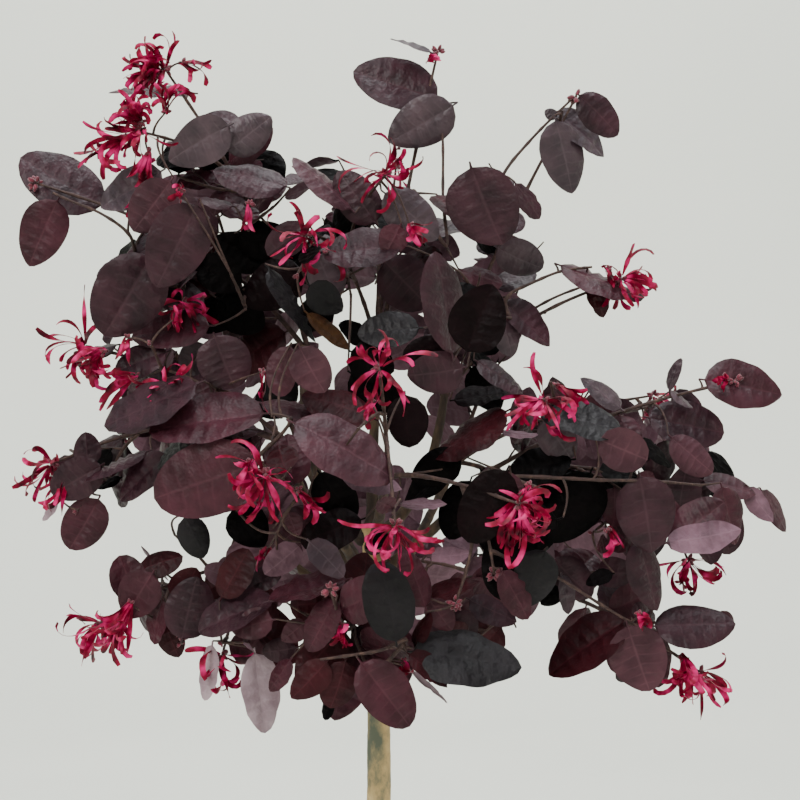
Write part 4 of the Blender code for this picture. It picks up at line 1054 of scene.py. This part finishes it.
bladeKinds = {}
for fine, section, rings in (
        (True, fineSection, leafBlade["fineRings"]), (False, plainSection, leafBlade["plainRings"])):
    share, way = np.array(section, float).T
    bladeKinds[fine] = (share, way * (np.abs(share) < 1), rings, *bladeFaces(section, rings + 2))


def leafMesh(leaf, halfShare, rng, places, faces, undersides, blades):
    shape = leafBlade
    length = leaf.length
    stalk = shape["stalkShare"] * length
    width = length * (halfShare * (1 - shape["stalkShare"]) if halfShare else rng.uniform(*shape["widthShare"]))
    calm = shape["placedCalm"] if halfShare else 1
    fold = rng.uniform(*shape["fold"]) * calm
    recurve = rng.uniform(*shape["recurve"])
    droop = rng.uniform(*shape["droop"]) * calm
    wave = rng.uniform(*shape["wave"]) * length
    waves, phase = rng.uniform(*shape["waves"]), rng.uniform(0, 2 * math.pi)
    quilt = rng.uniform(*shape["quilt"]) * length
    twist = rng.uniform(-1, 1) * shape["twist"] * calm
    sway = rng.uniform(-1, 1) * shape["sway"]
    skew = rng.uniform(-1, 1) * shape["skew"]
    tipPower = rng.uniform(*shape["tipPower"])
    side, level, rings, kindFaces, kindUnder = bladeKinds[length > shape["fineLength"]]
    sides = len(side)
    # How far out from the midrib, and how far along the blade: a ring slants forward as the veins do
    inner = np.abs(side)
    t = ((np.arange(rings) + 0.3) / (rings - 0.25))[:, None]
    far = t + shape["veinSlant"] * inner * np.sin(math.pi * t) * (1 - t)
    most = shape["footPower"] / (shape["footPower"] + tipPower)
    full = most ** shape["footPower"] * (1 - most) ** tipPower
    half = far ** shape["footPower"] * (1 - far) ** tipPower / full * width
    x = side * half * (1 + skew * side)
    lift = fold * inner * half - recurve * inner ** 4 * half - droop * length * far ** 2
    lift += wave * inner ** 3 * np.sin(waves * 2 * math.pi * t + phase + 1.3 * (side > 0))
    # Each ring bulges or sinks by turns between midrib and rim
    bulge = np.where(np.arange(rings) % 2, 1.0, -1.0)[:, None] * 4 * inner * (1 - inner)
    lift += quilt * bulge * np.minimum(1, 3.5 * t) * np.minimum(1, 3.5 * (1 - t))
    crumple = np.array([rng.uniform(-1, 1) for _ in range(rings * 9)]).reshape(rings, 9)
    lift += shape["crumple"] * length * crumple[:, np.round(4 + 4 * side).astype(int)] * np.minimum(1, 4 * t)
    lift += level * shape["thickness"] / 2 - np.where(side == 0, shape["midribGroove"], 0) * (1 - 0.6 * t)
    turned = twist * far
    x, lift = x * np.cos(turned) - lift * np.sin(turned), x * np.sin(turned) + lift * np.cos(turned)
    x = x + sway * length * far ** 2
    y = stalk + (length - stalk) * far
    # Two rings of the stalk come before the blade's, and the tip after them
    around = math.pi - 2 * math.pi * np.arange(sides) / sides
    rod = shape["stalkRadius"]
    x = np.vstack([rod * np.cos(around)] * 2 + [x])
    lift = np.vstack([rod * np.sin(around)] * 2 + [lift])
    y = np.vstack([np.zeros(sides), np.full(sides, 0.8 * stalk), y])
    tip = (sway * length - math.sin(twist) * -droop * length, length, -droop * length * math.cos(twist))
    local = np.vstack([np.stack([x, y, lift], axis=2).reshape(-1, 3), [tip]])
    axes = np.array([leaf.along.cross(leaf.normal).normalized(), leaf.along, leaf.normal])
    start = len(places)
    places.extend((np.array(leaf.base) + local @ axes).tolist())
    numbers = np.repeat(np.maximum(np.arange(rings + 2) - 2, 0) / 2, sides)
    blades.extend(np.column_stack([np.tile(side, rings + 2), numbers, np.zeros(len(numbers))]).ravel().tolist())
    blades.extend((0.0, rings / 2, 0.0))
    faces.extend(tuple(start + n for n in face) for face in kindFaces)
    undersides.extend(kindUnder)


# Each zone's tints with the share of sprays up to which they are dealt, from the crown's dim heart outward. The
# near-black tints dealt to the dim heart and the middle are painted shade
tintRule = {
    "heart": (("shadeBlack", 0.65), ("darkPurple", 1)),
    "low": (("redWine", 0.42), ("wine", 0.78), ("darkPurple", 1)),
    "young": (("redWine", 0.35), ("wine", 1)),
    "middle": (("wine", 0.5), ("darkPurple", 0.9), ("shadeBlack", 1)),
    "high": (("darkPurple", 0.72), ("wine", 1)),
    "heartRadius": 0.095, "lowTop": 0.69, "middleTop": 0.80, "youngLength": 0.022,
    # The dim layer behind the front, by depth and by middle and half sizes in the picture, and how often a spray
    # changes its tint
    "dimDepth": (0.0, 0.045), "dimOval": (390, 400, 240, 190), "changeTint": 0.3,
}


def zoneOf(place, length):
    rule = tintRule
    x, y = placeToPicture(place)
    midX, midY, halfWide, halfHigh = rule["dimOval"]
    near, far = rule["dimDepth"]
    dim = near < place.y < far and math.hypot((x - midX) / halfWide, (y - midY) / halfHigh) < 1
    if dim or (place - growth["crownCentre"]).length < rule["heartRadius"]:
        return "heart"
    if place.z < rule["lowTop"]:
        return "low"
    if length < rule["youngLength"]:
        return "young"
    return "middle" if place.z < rule["middleTop"] else "high"


def tintOf(leaf, rng):
    roll = rng.random()
    return next(tint for tint, share in tintRule[zoneOf(leaf.base, leaf.length)] if roll < share)


leafRng = random.Random(41)
heaps = {tint: ([], [], [], []) for tint in leafTints}
for growing in plant.values():
    # Leaves of one spray share a tint as a rule
    sprayTint = None
    for leaf in growing["leaves"]:
        if sprayTint is None or leafRng.random() < tintRule["changeTint"]:
            sprayTint = tintOf(leaf, leafRng)
        leafMesh(leaf, None, leafRng, *heaps[sprayTint])
for placed in front:
    tint = "paleWine" if placed.tint == "underside" else placed.tint
    leafMesh(placed.leaf, placed.halfShare, leafRng, *heaps[tint])
for tint, (places, faces, undersides, blades) in heaps.items():
    leaves = pieceFromMesh("leaves_" + tint, places, faces)
    leaves.data.attributes.new("blade", "FLOAT_VECTOR", "POINT").data.foreach_set("vector", blades)
    finishPiece(leaves, "foliage", masses, leafFinishes[tint], underFinish)
    leaves.data.polygons.foreach_set("material_index", [int(under) for under in undersides])
    print("leaves", tint, len(faces), "faces")


# Flowers: strap petals that come out of a knot of small calyxes, curling and twisting to their tips

petalShape = {
    "perRay": (1, 2, 2), "width": (0.0018, 0.0031), "thickness": 0.00026, "steps": 10, "length": (0.75, 1.35),
    "curl": (0.4, 4.0), "twist": (-2.6, 2.6), "ripple": 0.5, "sag": 0.055, "footShare": 0.35, "tipShare": 0.6,
    "foot": 0.002, "stray": 0.28, "placedFoot": 0.0014, "placedStray": 0.45, "placedLength": (0.75, 1.3),
    # How fast the petal comes to its full width, and how its curl grows with a power of the way
    "widens": 2.4, "curlPower": 1.4, "mostCurl": 2.2, "ripples": 5,
}
# Small knobs: how many stand round a place, how far out, how large or between what sizes, and how far they stray
# from its heading
knobKinds = {
    "calyx": {"count": 9, "out": 0.0022, "size": (0.0019,), "stray": 1.0},
    "placedCalyx": {"count": 5, "out": 0.0014, "size": (0.0016,)},
    "bud": {"count": 11, "out": 0.0026, "size": (0.0014, 0.0024)},
    "twigBud": {"count": 4, "out": 0.0012, "size": (0.0010, 0.0017), "stray": 0.8},
}


def petalMesh(foot, heading, length, rng, places, faces):
    shape = petalShape
    steps = shape["steps"]
    width = rng.uniform(*shape["width"])
    curlAxis = heading.cross(randomDirection(rng)).normalized()
    curl = rng.uniform(*shape["curl"]) * rng.choice((-1, 1))
    twist = rng.uniform(*shape["twist"])
    phase = rng.uniform(0, 2 * math.pi)
    thick = shape["thickness"] / 2
    start = len(places)
    centre = foot.copy()
    way = heading.copy()
    for i in range(steps + 1):
        t = i / steps
        turn = twist * t + shape["ripple"] * math.sin(phase + shape["ripples"] * t)
        side = (curlAxis - way * curlAxis.dot(way)).normalized()
        other = way.cross(side)
        flat = side * math.cos(turn) + other * math.sin(turn)
        face = other * math.cos(turn) - side * math.sin(turn)
        widening = shape["footShare"] + (1 - shape["footShare"]) * min(1, shape["widens"] * t)
        half = width * 0.5 * widening * (shape["tipShare"] if i == steps else 1)
        places += [centre - flat * half, centre + face * thick, centre + flat * half, centre - face * thick]
        # Straight out of the knot at first, and curling more and more to the tip
        way.rotate(Quaternion(curlAxis, curl * shape["mostCurl"] * t ** shape["curlPower"] / steps))
        way = (way + Vector((0, 0, -shape["sag"]))).normalized()
        centre = centre + way * (length / steps)
    closeRings(start, steps + 1, 4, faces)


# Rings between a knob's two ends: how far along and how wide, as shares of its size
knobRings = ((-0.55, 0.42), (0.1, 0.55), (0.65, 0.34))


def knobMesh(centre, heading, size, rng, places, faces):
    side = heading.orthogonal().normalized()
    other = heading.cross(side)
    start = len(places)
    places.append(centre - heading * size * 0.9)
    for far, wide in knobRings:
        for j in range(6):
            turn = math.pi * j / 3
            places.append(centre + heading * (size * far) + (side * math.cos(turn) + other * math.sin(turn))
                          * (size * wide * rng.uniform(0.9, 1.1)))
    places.append(centre + heading * size)
    for j in range(6):
        k = (j + 1) % 6
        faces.append((start, start + 1 + k, start + 1 + j))
        for ring in (0, 1):
            low, high = start + 1 + 6 * ring, start + 7 + 6 * ring
            faces.append((low + j, low + k, high + k, high + j))
        faces.append((start + 13 + j, start + 13 + k, start + 19))


flowerRng = random.Random(57)
petals, knobs = ([], []), ([], [])


def addKnobs(kind, place, heading=None):
    rule = knobKinds[kind]
    for _ in range(rule["count"]):
        lean = randomDirection(flowerRng)
        if heading is not None:
            lean = (heading + lean * rule["stray"]).normalized()
        size = flowerRng.uniform(*rule["size"]) if len(rule["size"]) == 2 else rule["size"][0]
        knobMesh(place + lean * rule["out"], lean, size, flowerRng, *knobs)


def addBloom(bloom):
    for ray in bloom.rays:
        heading = ray.normalized()
        for _ in range(flowerRng.choice(petalShape["perRay"])):
            lean = (heading + randomDirection(flowerRng) * petalShape["stray"]).normalized()
            if bloom.centre.y > growth["backFrom"] and not insideEdge(*placeToPicture(bloom.centre + ray * 1.2)):
                continue
            length = ray.length * flowerRng.uniform(*petalShape["length"])
            petalMesh(bloom.centre + lean * petalShape["foot"], lean, length, flowerRng, *petals)
    addKnobs("calyx", bloom.centre, bloom.axis * 0.2)


def addFlower(flower):
    for _ in range(flower.petals):
        lean = (flower.heading + randomDirection(flowerRng) * petalShape["placedStray"]).normalized()
        length = flower.reach * flowerRng.uniform(*petalShape["placedLength"])
        foot = flower.knot + randomDirection(flowerRng) * petalShape["placedFoot"]
        petalMesh(foot, lean, length, flowerRng, *petals)
    addKnobs("placedCalyx", flower.knot)


for growing in plant.values():
    for bloom in growing["blooms"]:
        addBloom(bloom)
    for bud in growing["buds"]:
        addKnobs("bud", bud)
    for twig in growing["twigs"] + growing["twiglets"]:
        if twig.endsIn == "bud":
            addKnobs("twigBud", twig.points[-1], endHeading(twig))
for flower in flowers:
    addFlower(flower)
finishPiece(pieceFromMesh("petals", *petals), "foliage", masses, petalFinish)
finishPiece(pieceFromMesh("buds_and_calyxes", *knobs), "foliage", masses, budFinish)
print("petals", len(petals[1]), "faces, buds", len(knobs[1]))


# Twigs

# From foot to tip: the radius of a mass's own stem, of its shoots and of twiglets, and the knots every fourth ring.
# Sides and steps are for the shoots and for the twiglets
twigShape = {
    "stem": (0.0014, 0.0006), "shoot": (0.0010, 0.0006), "twiglet": (0.0007, 0.0004), "knot": 0.00022,
    "sides": (6, 5), "steps": (6, 3), "intoBough": 0.004,
}


def smoothLine(points, steps):
    fine = []
    for i in range(len(points) - 1):
        before, a = points[max(i - 1, 0)], points[i]
        b, after = points[i + 1], points[min(i + 2, len(points) - 1)]
        for step in range(steps):
            t = step / steps
            fine.append(0.5 * (2 * a + (b - before) * t + (2 * before - 5 * a + 4 * b - after) * t ** 2
                               + (3 * a - before - 3 * b + after) * t ** 3))
    fine.append(points[-1].copy())
    return fine


def tubeMesh(points, radii, sides, places, faces):
    start = len(places)
    side = None
    for i, point in enumerate(points):
        heading = (points[min(i + 1, len(points) - 1)] - points[max(i - 1, 0)]).normalized()
        if side is None:
            side = heading.orthogonal().normalized()
        side = (side - heading * side.dot(heading)).normalized()
        other = heading.cross(side)
        for j in range(sides):
            turn = 2 * math.pi * j / sides
            places.append(point + (side * math.cos(turn) + other * math.sin(turn)) * radii[i])
    closeRings(start, len(points), sides, faces)


# A twig ends at the last thing that it carries
def withoutBareEnd(points, feet):
    last = len(points)
    while last > 3 and min((foot - points[last - 1]).length for foot in feet) > finer["bareReach"]:
        last -= 1
    return points[:last]


twigHeap = ([], [])
for name, growing in plant.items():
    feet = [leaf.base for leaf in growing["leaves"]] + joints
    feet += [twiglet.points[0] for twiglet in growing["twiglets"]]
    large = growing["shoots"] + growing["twigs"] + growing["stems"]
    for i, shoot in enumerate(large + growing["twiglets"]):
        small = i >= len(large)
        points = smoothLine(shoot.points, twigShape["steps"][small])
        if shoot.endsIn == "leaf" and not small:
            points = withoutBareEnd(points, feet)
        if i == 0:
            points.insert(0, points[0] - endHeading(limbs[masses[name][0]]) * twigShape["intoBough"])
        thick, thin = twigShape["twiglet" if small else "shoot" if i else "stem"]
        radii = []
        for j in range(len(points)):
            knot = twigShape["knot"] if j % 4 == 2 and not small else 0.0
            radii.append(thick + (thin - thick) * (j / (len(points) - 1)) + knot)
        tubeMesh(points, radii, twigShape["sides"][small], *twigHeap)
finishPiece(pieceFromMesh("twigs", *twigHeap), "foliage", masses, twigFinish)
print("twigs", len(twigHeap[1]), "faces")


# Trunk and boughs, with the bark's own relief in the mesh

barkShape = {
    "trunkSides": 36, "trunkRings": 260, "trunkRelief": 0.0007, "boughSides": 14, "boughSteps": 14,
    "boughRelief": 0.0005, "furrows": 190.0, "furrowStretch": 0.28, "flakes": 420.0, "flakeStretch": 0.6,
    # How far the root flare's lobes stand out, and how a bough swells where it leaves the trunk and reaches into it
    "lobes": 0.16, "collar": 0.55, "collarFade": 14, "intoTrunk": 0.6, "intoTrunkDown": 0.001,
}


def barkRelief(place, outward, depth):
    shape = barkShape
    drawn = Vector((place.x, place.y, place.z * shape["furrowStretch"])) * shape["furrows"]
    furrow = noise.fractal(drawn, 0.9, 2.1, 4)
    flake = abs(noise.noise(Vector((place.x, place.y, place.z * shape["flakeStretch"])) * shape["flakes"]))
    return place + outward * (depth * (0.55 * furrow - 0.5 * flake))


def makeTrunk():
    places, faces = [], []
    line = trunkLine(barkShape["trunkRings"])
    foot = line[0].z
    sides = barkShape["trunkSides"]
    tubeMesh(line, [trunkRadius(centre.z) for centre in line], sides, places, faces)
    for i, centre in enumerate(line):
        lobe = barkShape["lobes"] * math.exp(-(centre.z - foot) / trunkShape["flareHeight"])
        for j in range(i * sides, (i + 1) * sides):
            out = places[j] - centre
            out = out * (1 + lobe * math.cos(trunkShape["flareLobes"] * math.atan2(out.y, out.x)))
            places[j] = barkRelief(centre + out, out.normalized(), barkShape["trunkRelief"])
            if i == 0:
                places[j].z = foot
    finishPiece(pieceFromMesh("trunk_bark", places, faces), "bark", ["trunk"], barkFinish)


def makeBoughs():
    places, faces = [], []
    sides = barkShape["boughSides"]
    footRadius, tipRadius = boughShape["footRadius"], boughShape["tipRadius"]
    for name, limb in limbs.items():
        line = smoothLine(limb.points, barkShape["boughSteps"])
        radii = []
        for i in range(len(line)):
            t = i / (len(line) - 1)
            collar = 1 + barkShape["collar"] * math.exp(-t * barkShape["collarFade"])
            radii.append((footRadius + (tipRadius - footRadius) * t) * collar)
        inward = trunkPlace(boughs[name][0] * mm) - line[0]
        line.insert(0, line[0] + inward * barkShape["intoTrunk"] - Vector((0, 0, barkShape["intoTrunkDown"])))
        radii.insert(0, radii[0])
        start = len(places)
        tubeMesh(line, radii, sides, places, faces)
        for i, centre in enumerate(line):
            for j in range(start + i * sides, start + (i + 1) * sides):
                places[j] = barkRelief(places[j], (places[j] - centre).normalized(), barkShape["boughRelief"])
    finishPiece(pieceFromMesh("bough_bark", places, faces), "bark", boughs, boughFinish)


makeTrunk()
makeBoughs()
print("bark done")


# Pot and compost

potShape = {
    "height": 0.200, "footRadius": 0.082, "shoulderRadius": 0.101, "rimRadius": 0.110, "rimDepth": 0.028,
    "wall": 0.0028, "sides": 96, "drainHoles": 5, "drainRadius": 0.006, "drainCircle": 0.058,
    "softEdge": 0.0004, "sharpFrom": 35,
}

# Nursery pot of recycled polypropylene, injection moulded: near black, with a dull satin skin and faint flow marks
potFinish = mottledMaterial(
    "pot_polypropylene", {"IOR": 1.49, "Roughness": 0.46}, [(0.3, "#222325"), (0.7, "#2e2f31")],
    {"Scale": 28.0, "Detail": 4.0}, {"Strength": 0.2, "Distance": 0.0001}, {"Scale": 1500.0, "Detail": 2.0})


def spinProfile(name, profile, sides):
    bpy.ops.object.select_all(action="DESELECT")
    piece = pieceFromMesh(name, [(radius, 0, height) for radius, height in profile], [], smooth=False)
    shape = bmesh.new()
    shape.from_mesh(piece.data)
    shape.verts.ensure_lookup_table()
    for a, b in zip(shape.verts[:-1], shape.verts[1:]):
        shape.edges.new((a, b))
    shape.to_mesh(piece.data)
    shape.free()
    bpy.context.view_layer.objects.active = piece
    piece.select_set(True)
    bpy.ops.object.mode_set(mode="EDIT")
    bpy.ops.mesh.select_all(action="SELECT")
    bpy.ops.mesh.spin(steps=sides, angle=2 * math.pi, center=(0, 0, 0), axis=(0, 0, 1))
    bpy.ops.mesh.select_all(action="SELECT")
    bpy.ops.mesh.remove_doubles(threshold=0.00002)
    bpy.ops.mesh.normals_make_consistent(inside=False)
    bpy.ops.object.mode_set(mode="OBJECT")
    return piece


def applyModifier(piece, kind, **settings):
    modifier = piece.modifiers.new(kind.lower(), kind)
    for name, value in settings.items():
        setattr(modifier, name, value)
    bpy.context.view_layer.objects.active = piece
    bpy.ops.object.modifier_apply(modifier=modifier.name)


def makePot():
    foot, shoulder, rim = potShape["footRadius"], potShape["shoulderRadius"], potShape["rimRadius"]
    top, wall = potShape["height"], potShape["wall"]
    under = top - potShape["rimDepth"]
    profile = [
        # The underside with its raised ring, up the ribbed wall, round the rim and down inside
        (0, 0.0016), (0.030, 0.0016), (0.034, 0.0), (0.066, 0.0), (0.070, 0.0022), (0.0765, 0.0022), (0.0785, 0.0),
        (foot - 0.001, 0.0), (foot, 0.001), (foot + 0.0018, 0.016), (foot + 0.0009, 0.0175),
        (foot + 0.0155, under - 0.022), (foot + 0.0164, under - 0.0215), (shoulder, under),
        (rim - 0.0035, under + 0.0004), (rim - 0.002, under + 0.002), (rim - 0.0014, top - 0.008),
        (rim - 0.0004, top - 0.0066), (rim, top - 0.003), (rim - 0.0006, top - 0.0008), (rim - 0.0016, top),
        (rim - 0.0034, top - 0.0006), (rim - wall - 0.0012, top - 0.003), (rim - wall - 0.002, under + 0.006),
        (shoulder - wall, under), (foot - wall, wall), (0, wall),
    ]
    pot = spinProfile("pot_moulding", profile, potShape["sides"])
    for i in range(potShape["drainHoles"]):
        turn = 2 * math.pi * (i + 0.3) / potShape["drainHoles"]
        out = potShape["drainCircle"]
        bpy.ops.object.select_all(action="DESELECT")
        bpy.ops.mesh.primitive_cylinder_add(
            vertices=24, radius=potShape["drainRadius"], depth=4 * wall,
            location=(out * math.cos(turn), out * math.sin(turn), wall / 2))
        cutter = bpy.context.active_object
        applyModifier(pot, "BOOLEAN", operation="DIFFERENCE", object=cutter)
        bpy.data.objects.remove(cutter)
    sharp = math.radians(potShape["sharpFrom"])
    applyModifier(pot, "BEVEL", width=potShape["softEdge"], segments=2, limit_method="ANGLE", angle_limit=sharp)
    pot.data.shade_smooth()
    pot.data.set_sharp_from_angle(angle=sharp)
    finishPiece(pot, "pot", ["pot"], potFinish)


compost = {
    "ringStep": 0.0025, "sides": 120, "inset": 0.001, "sink": 0.0012, "lump": 0.0011, "lumps": 140.0,
    # Where the mound begins to fall off, and over what way
    "moundRadius": 0.097, "moundFall": 0.067,
    # Chips: how many, the first of them perlite, how far out they lie, half their length, and their other half sizes
    "chips": 620, "grit": 180, "chipReach": 0.094, "chipSize": (0.0012, 0.0048), "gritShare": 0.4,
    "chipWidth": 0.45, "chipHeight": 0.28,
}
# Moist peat compost, very dark and quite matt, with chips of composted bark and chalky grains of expanded perlite
compostFinish = grainMaterial(
    "compost_peat", [(0.3, "#1d130d"), (0.5, "#33231a"), (0.72, "#4d382a")], 0.004, 0.001, roughness=0.95)
chipTones = {
    "bark_chips": [(0.3, "#2c1b11"), (0.55, "#5a3d26"), (0.8, "#86633f")],
    "perlite": [(0.3, "#a59f92"), (0.7, "#d6d1c6")],
}


def soilHeight(x, y):
    rise = min(1, max(0, (compost["moundRadius"] - math.hypot(x, y)) / compost["moundFall"]))
    lump = noise.fractal(Vector((x, y, 0.3)) * compost["lumps"], 0.8, 2.0, 4)
    return soil["level"] + soil["crown"] * rise - compost["sink"] + compost["lump"] * lump


def makeCompost():
    clear = potShape["wall"] + 2 * gap + compost["inset"]
    floor, level = potShape["wall"] + gap, soil["level"]
    top = potShape["shoulderRadius"] - clear
    rings = int(top / compost["ringStep"])
    profile = [(0, floor), (potShape["footRadius"] - clear, floor),
               (top, potShape["height"] - potShape["rimDepth"] - 0.004), (top, level - 0.002)]
    # The top is drawn above its place, and then every point of it sinks to the height of the soil there
    profile += [(top * (1 - i / rings), level + 0.01) for i in range(1, rings + 1)]
    heap = spinProfile("compost", profile, compost["sides"])
    for vert in heap.data.vertices:
        if vert.co.z > level + 0.005:
            vert.co.z = soilHeight(vert.co.x, vert.co.y)
    heap.data.shade_smooth()
    finishPiece(heap, "soil", ["potting_soil"], compostFinish)


def makeChips():
    rng = random.Random(71)
    chipHeaps = {name: ([], []) for name in chipTones}
    for i in range(compost["chips"]):
        far, turn = compost["chipReach"] * math.sqrt(rng.uniform(0.02, 1)), rng.uniform(0, 2 * math.pi)
        x, y = far * math.cos(turn), far * math.sin(turn)
        size = rng.uniform(*compost["chipSize"])
        along = randomDirection(rng)
        along.z *= 0.25
        along.normalize()
        other = along.cross(upward + randomDirection(rng) * 0.4).normalized()
        up = along.cross(other)
        centre = Vector((x, y, soilHeight(x, y) + size * 0.15))
        places, faces = chipHeaps["bark_chips"]
        if i < compost["grit"]:
            places, faces = chipHeaps["perlite"]
            size *= compost["gritShare"]
        start = len(places)
        for a, b, c in product((-1, 1), repeat=3):
            corner = centre + along * (a * size * rng.uniform(0.6, 1))
            corner += other * (b * size * compost["chipWidth"] * rng.uniform(0.5, 1))
            places.append(corner + up * (c * size * compost["chipHeight"] * rng.uniform(0.6, 1)))
        for quad in ((0, 1, 3, 2), (4, 6, 7, 5), (0, 4, 5, 1), (2, 3, 7, 6), (0, 2, 6, 4), (1, 5, 7, 3)):
            faces.append(tuple(start + q for q in quad))
    for name, (places, faces) in chipHeaps.items():
        finish = grainMaterial(name + "_skin", chipTones[name], 0.003, 0.0004, roughness=0.9)
        finishPiece(pieceFromMesh(name, places, faces, smooth=False), "soil", ["potting_soil"], finish)


makePot()
makeCompost()
makeChips()
print("pot and compost done")


# Studio: a pale paper sweep all round, soft light from above the camera

studio = {
    "floorRadius": 3.6, "bend": 1.4, "bendSteps": 12, "wallHeight": 4.5, "sides": 128,
    "paper": ("#ebede5", "#f1f2ea"), "sky": (0.93, 0.97, 1.0, 1.0), "skyStrength": 0.85,
    # Place, what it shines on, size, power and colour
    "lights": {
        "key": ((-0.9, -2.4, 3.0), (0, 0, 0.72), 1.4, 78, (1.0, 0.98, 0.96)),
        "top": ((0.3, 0.2, 3.4), (0, 0, 0.7), 1.6, 60, (0.96, 0.98, 1.0)),
        "wall": ((0.0, 2.2, 4.0), (0, 5.2, 1.2), 2.0, 108, (1.0, 1.0, 0.98)),
    },
    "lens": 90, "sensor": 36,
}


def makeSweep():
    radius, bend, steps = studio["floorRadius"], studio["bend"], studio["bendSteps"]
    profile = [(0, 0), (radius, 0)]
    for i in range(1, steps + 1):
        turn = math.radians(90 / steps * i)
        profile.append((radius + bend * math.sin(turn), bend * (1 - math.cos(turn))))
    profile.append((radius + bend, studio["wallHeight"]))
    sweep = spinProfile("studio_sweep", profile, studio["sides"])
    sweep.data.shade_smooth()
    # Matt background paper, hardly clouded
    sweep.data.materials.append(mottledMaterial(
        "paper", {"Roughness": 0.9}, list(zip((0.3, 0.7), studio["paper"])), {"Scale": 1.2, "Detail": 2.0}))


def makeSky():
    world = bpy.data.worlds.new("sky")
    bpy.context.scene.world = world
    world.use_nodes = True
    background = world.node_tree.nodes["Background"]
    background.inputs["Color"].default_value = studio["sky"]
    background.inputs["Strength"].default_value = studio["skyStrength"]


def addLight(name, place, target, size, power, colour):
    lamp = bpy.data.lights.new(name, "AREA")
    lamp.size = size
    lamp.energy = power
    lamp.color = colour
    light = newObject(name, lamp)
    light.location = place
    light.rotation_euler = (Vector(target) - Vector(place)).to_track_quat("-Z", "Y").to_euler()


def addCamera():
    view = bpy.data.cameras.new("view")
    view.lens = studio["lens"]
    view.sensor_width = studio["sensor"]
    camera = newObject("view", view)
    camera.location = growth["viewpoint"]
    camera.rotation_euler = (math.radians(90), 0, 0)
    bpy.context.scene.camera = camera


makeSweep()
makeSky()
for name, settings in studio["lights"].items():
    addLight(name, *settings)
addCamera()
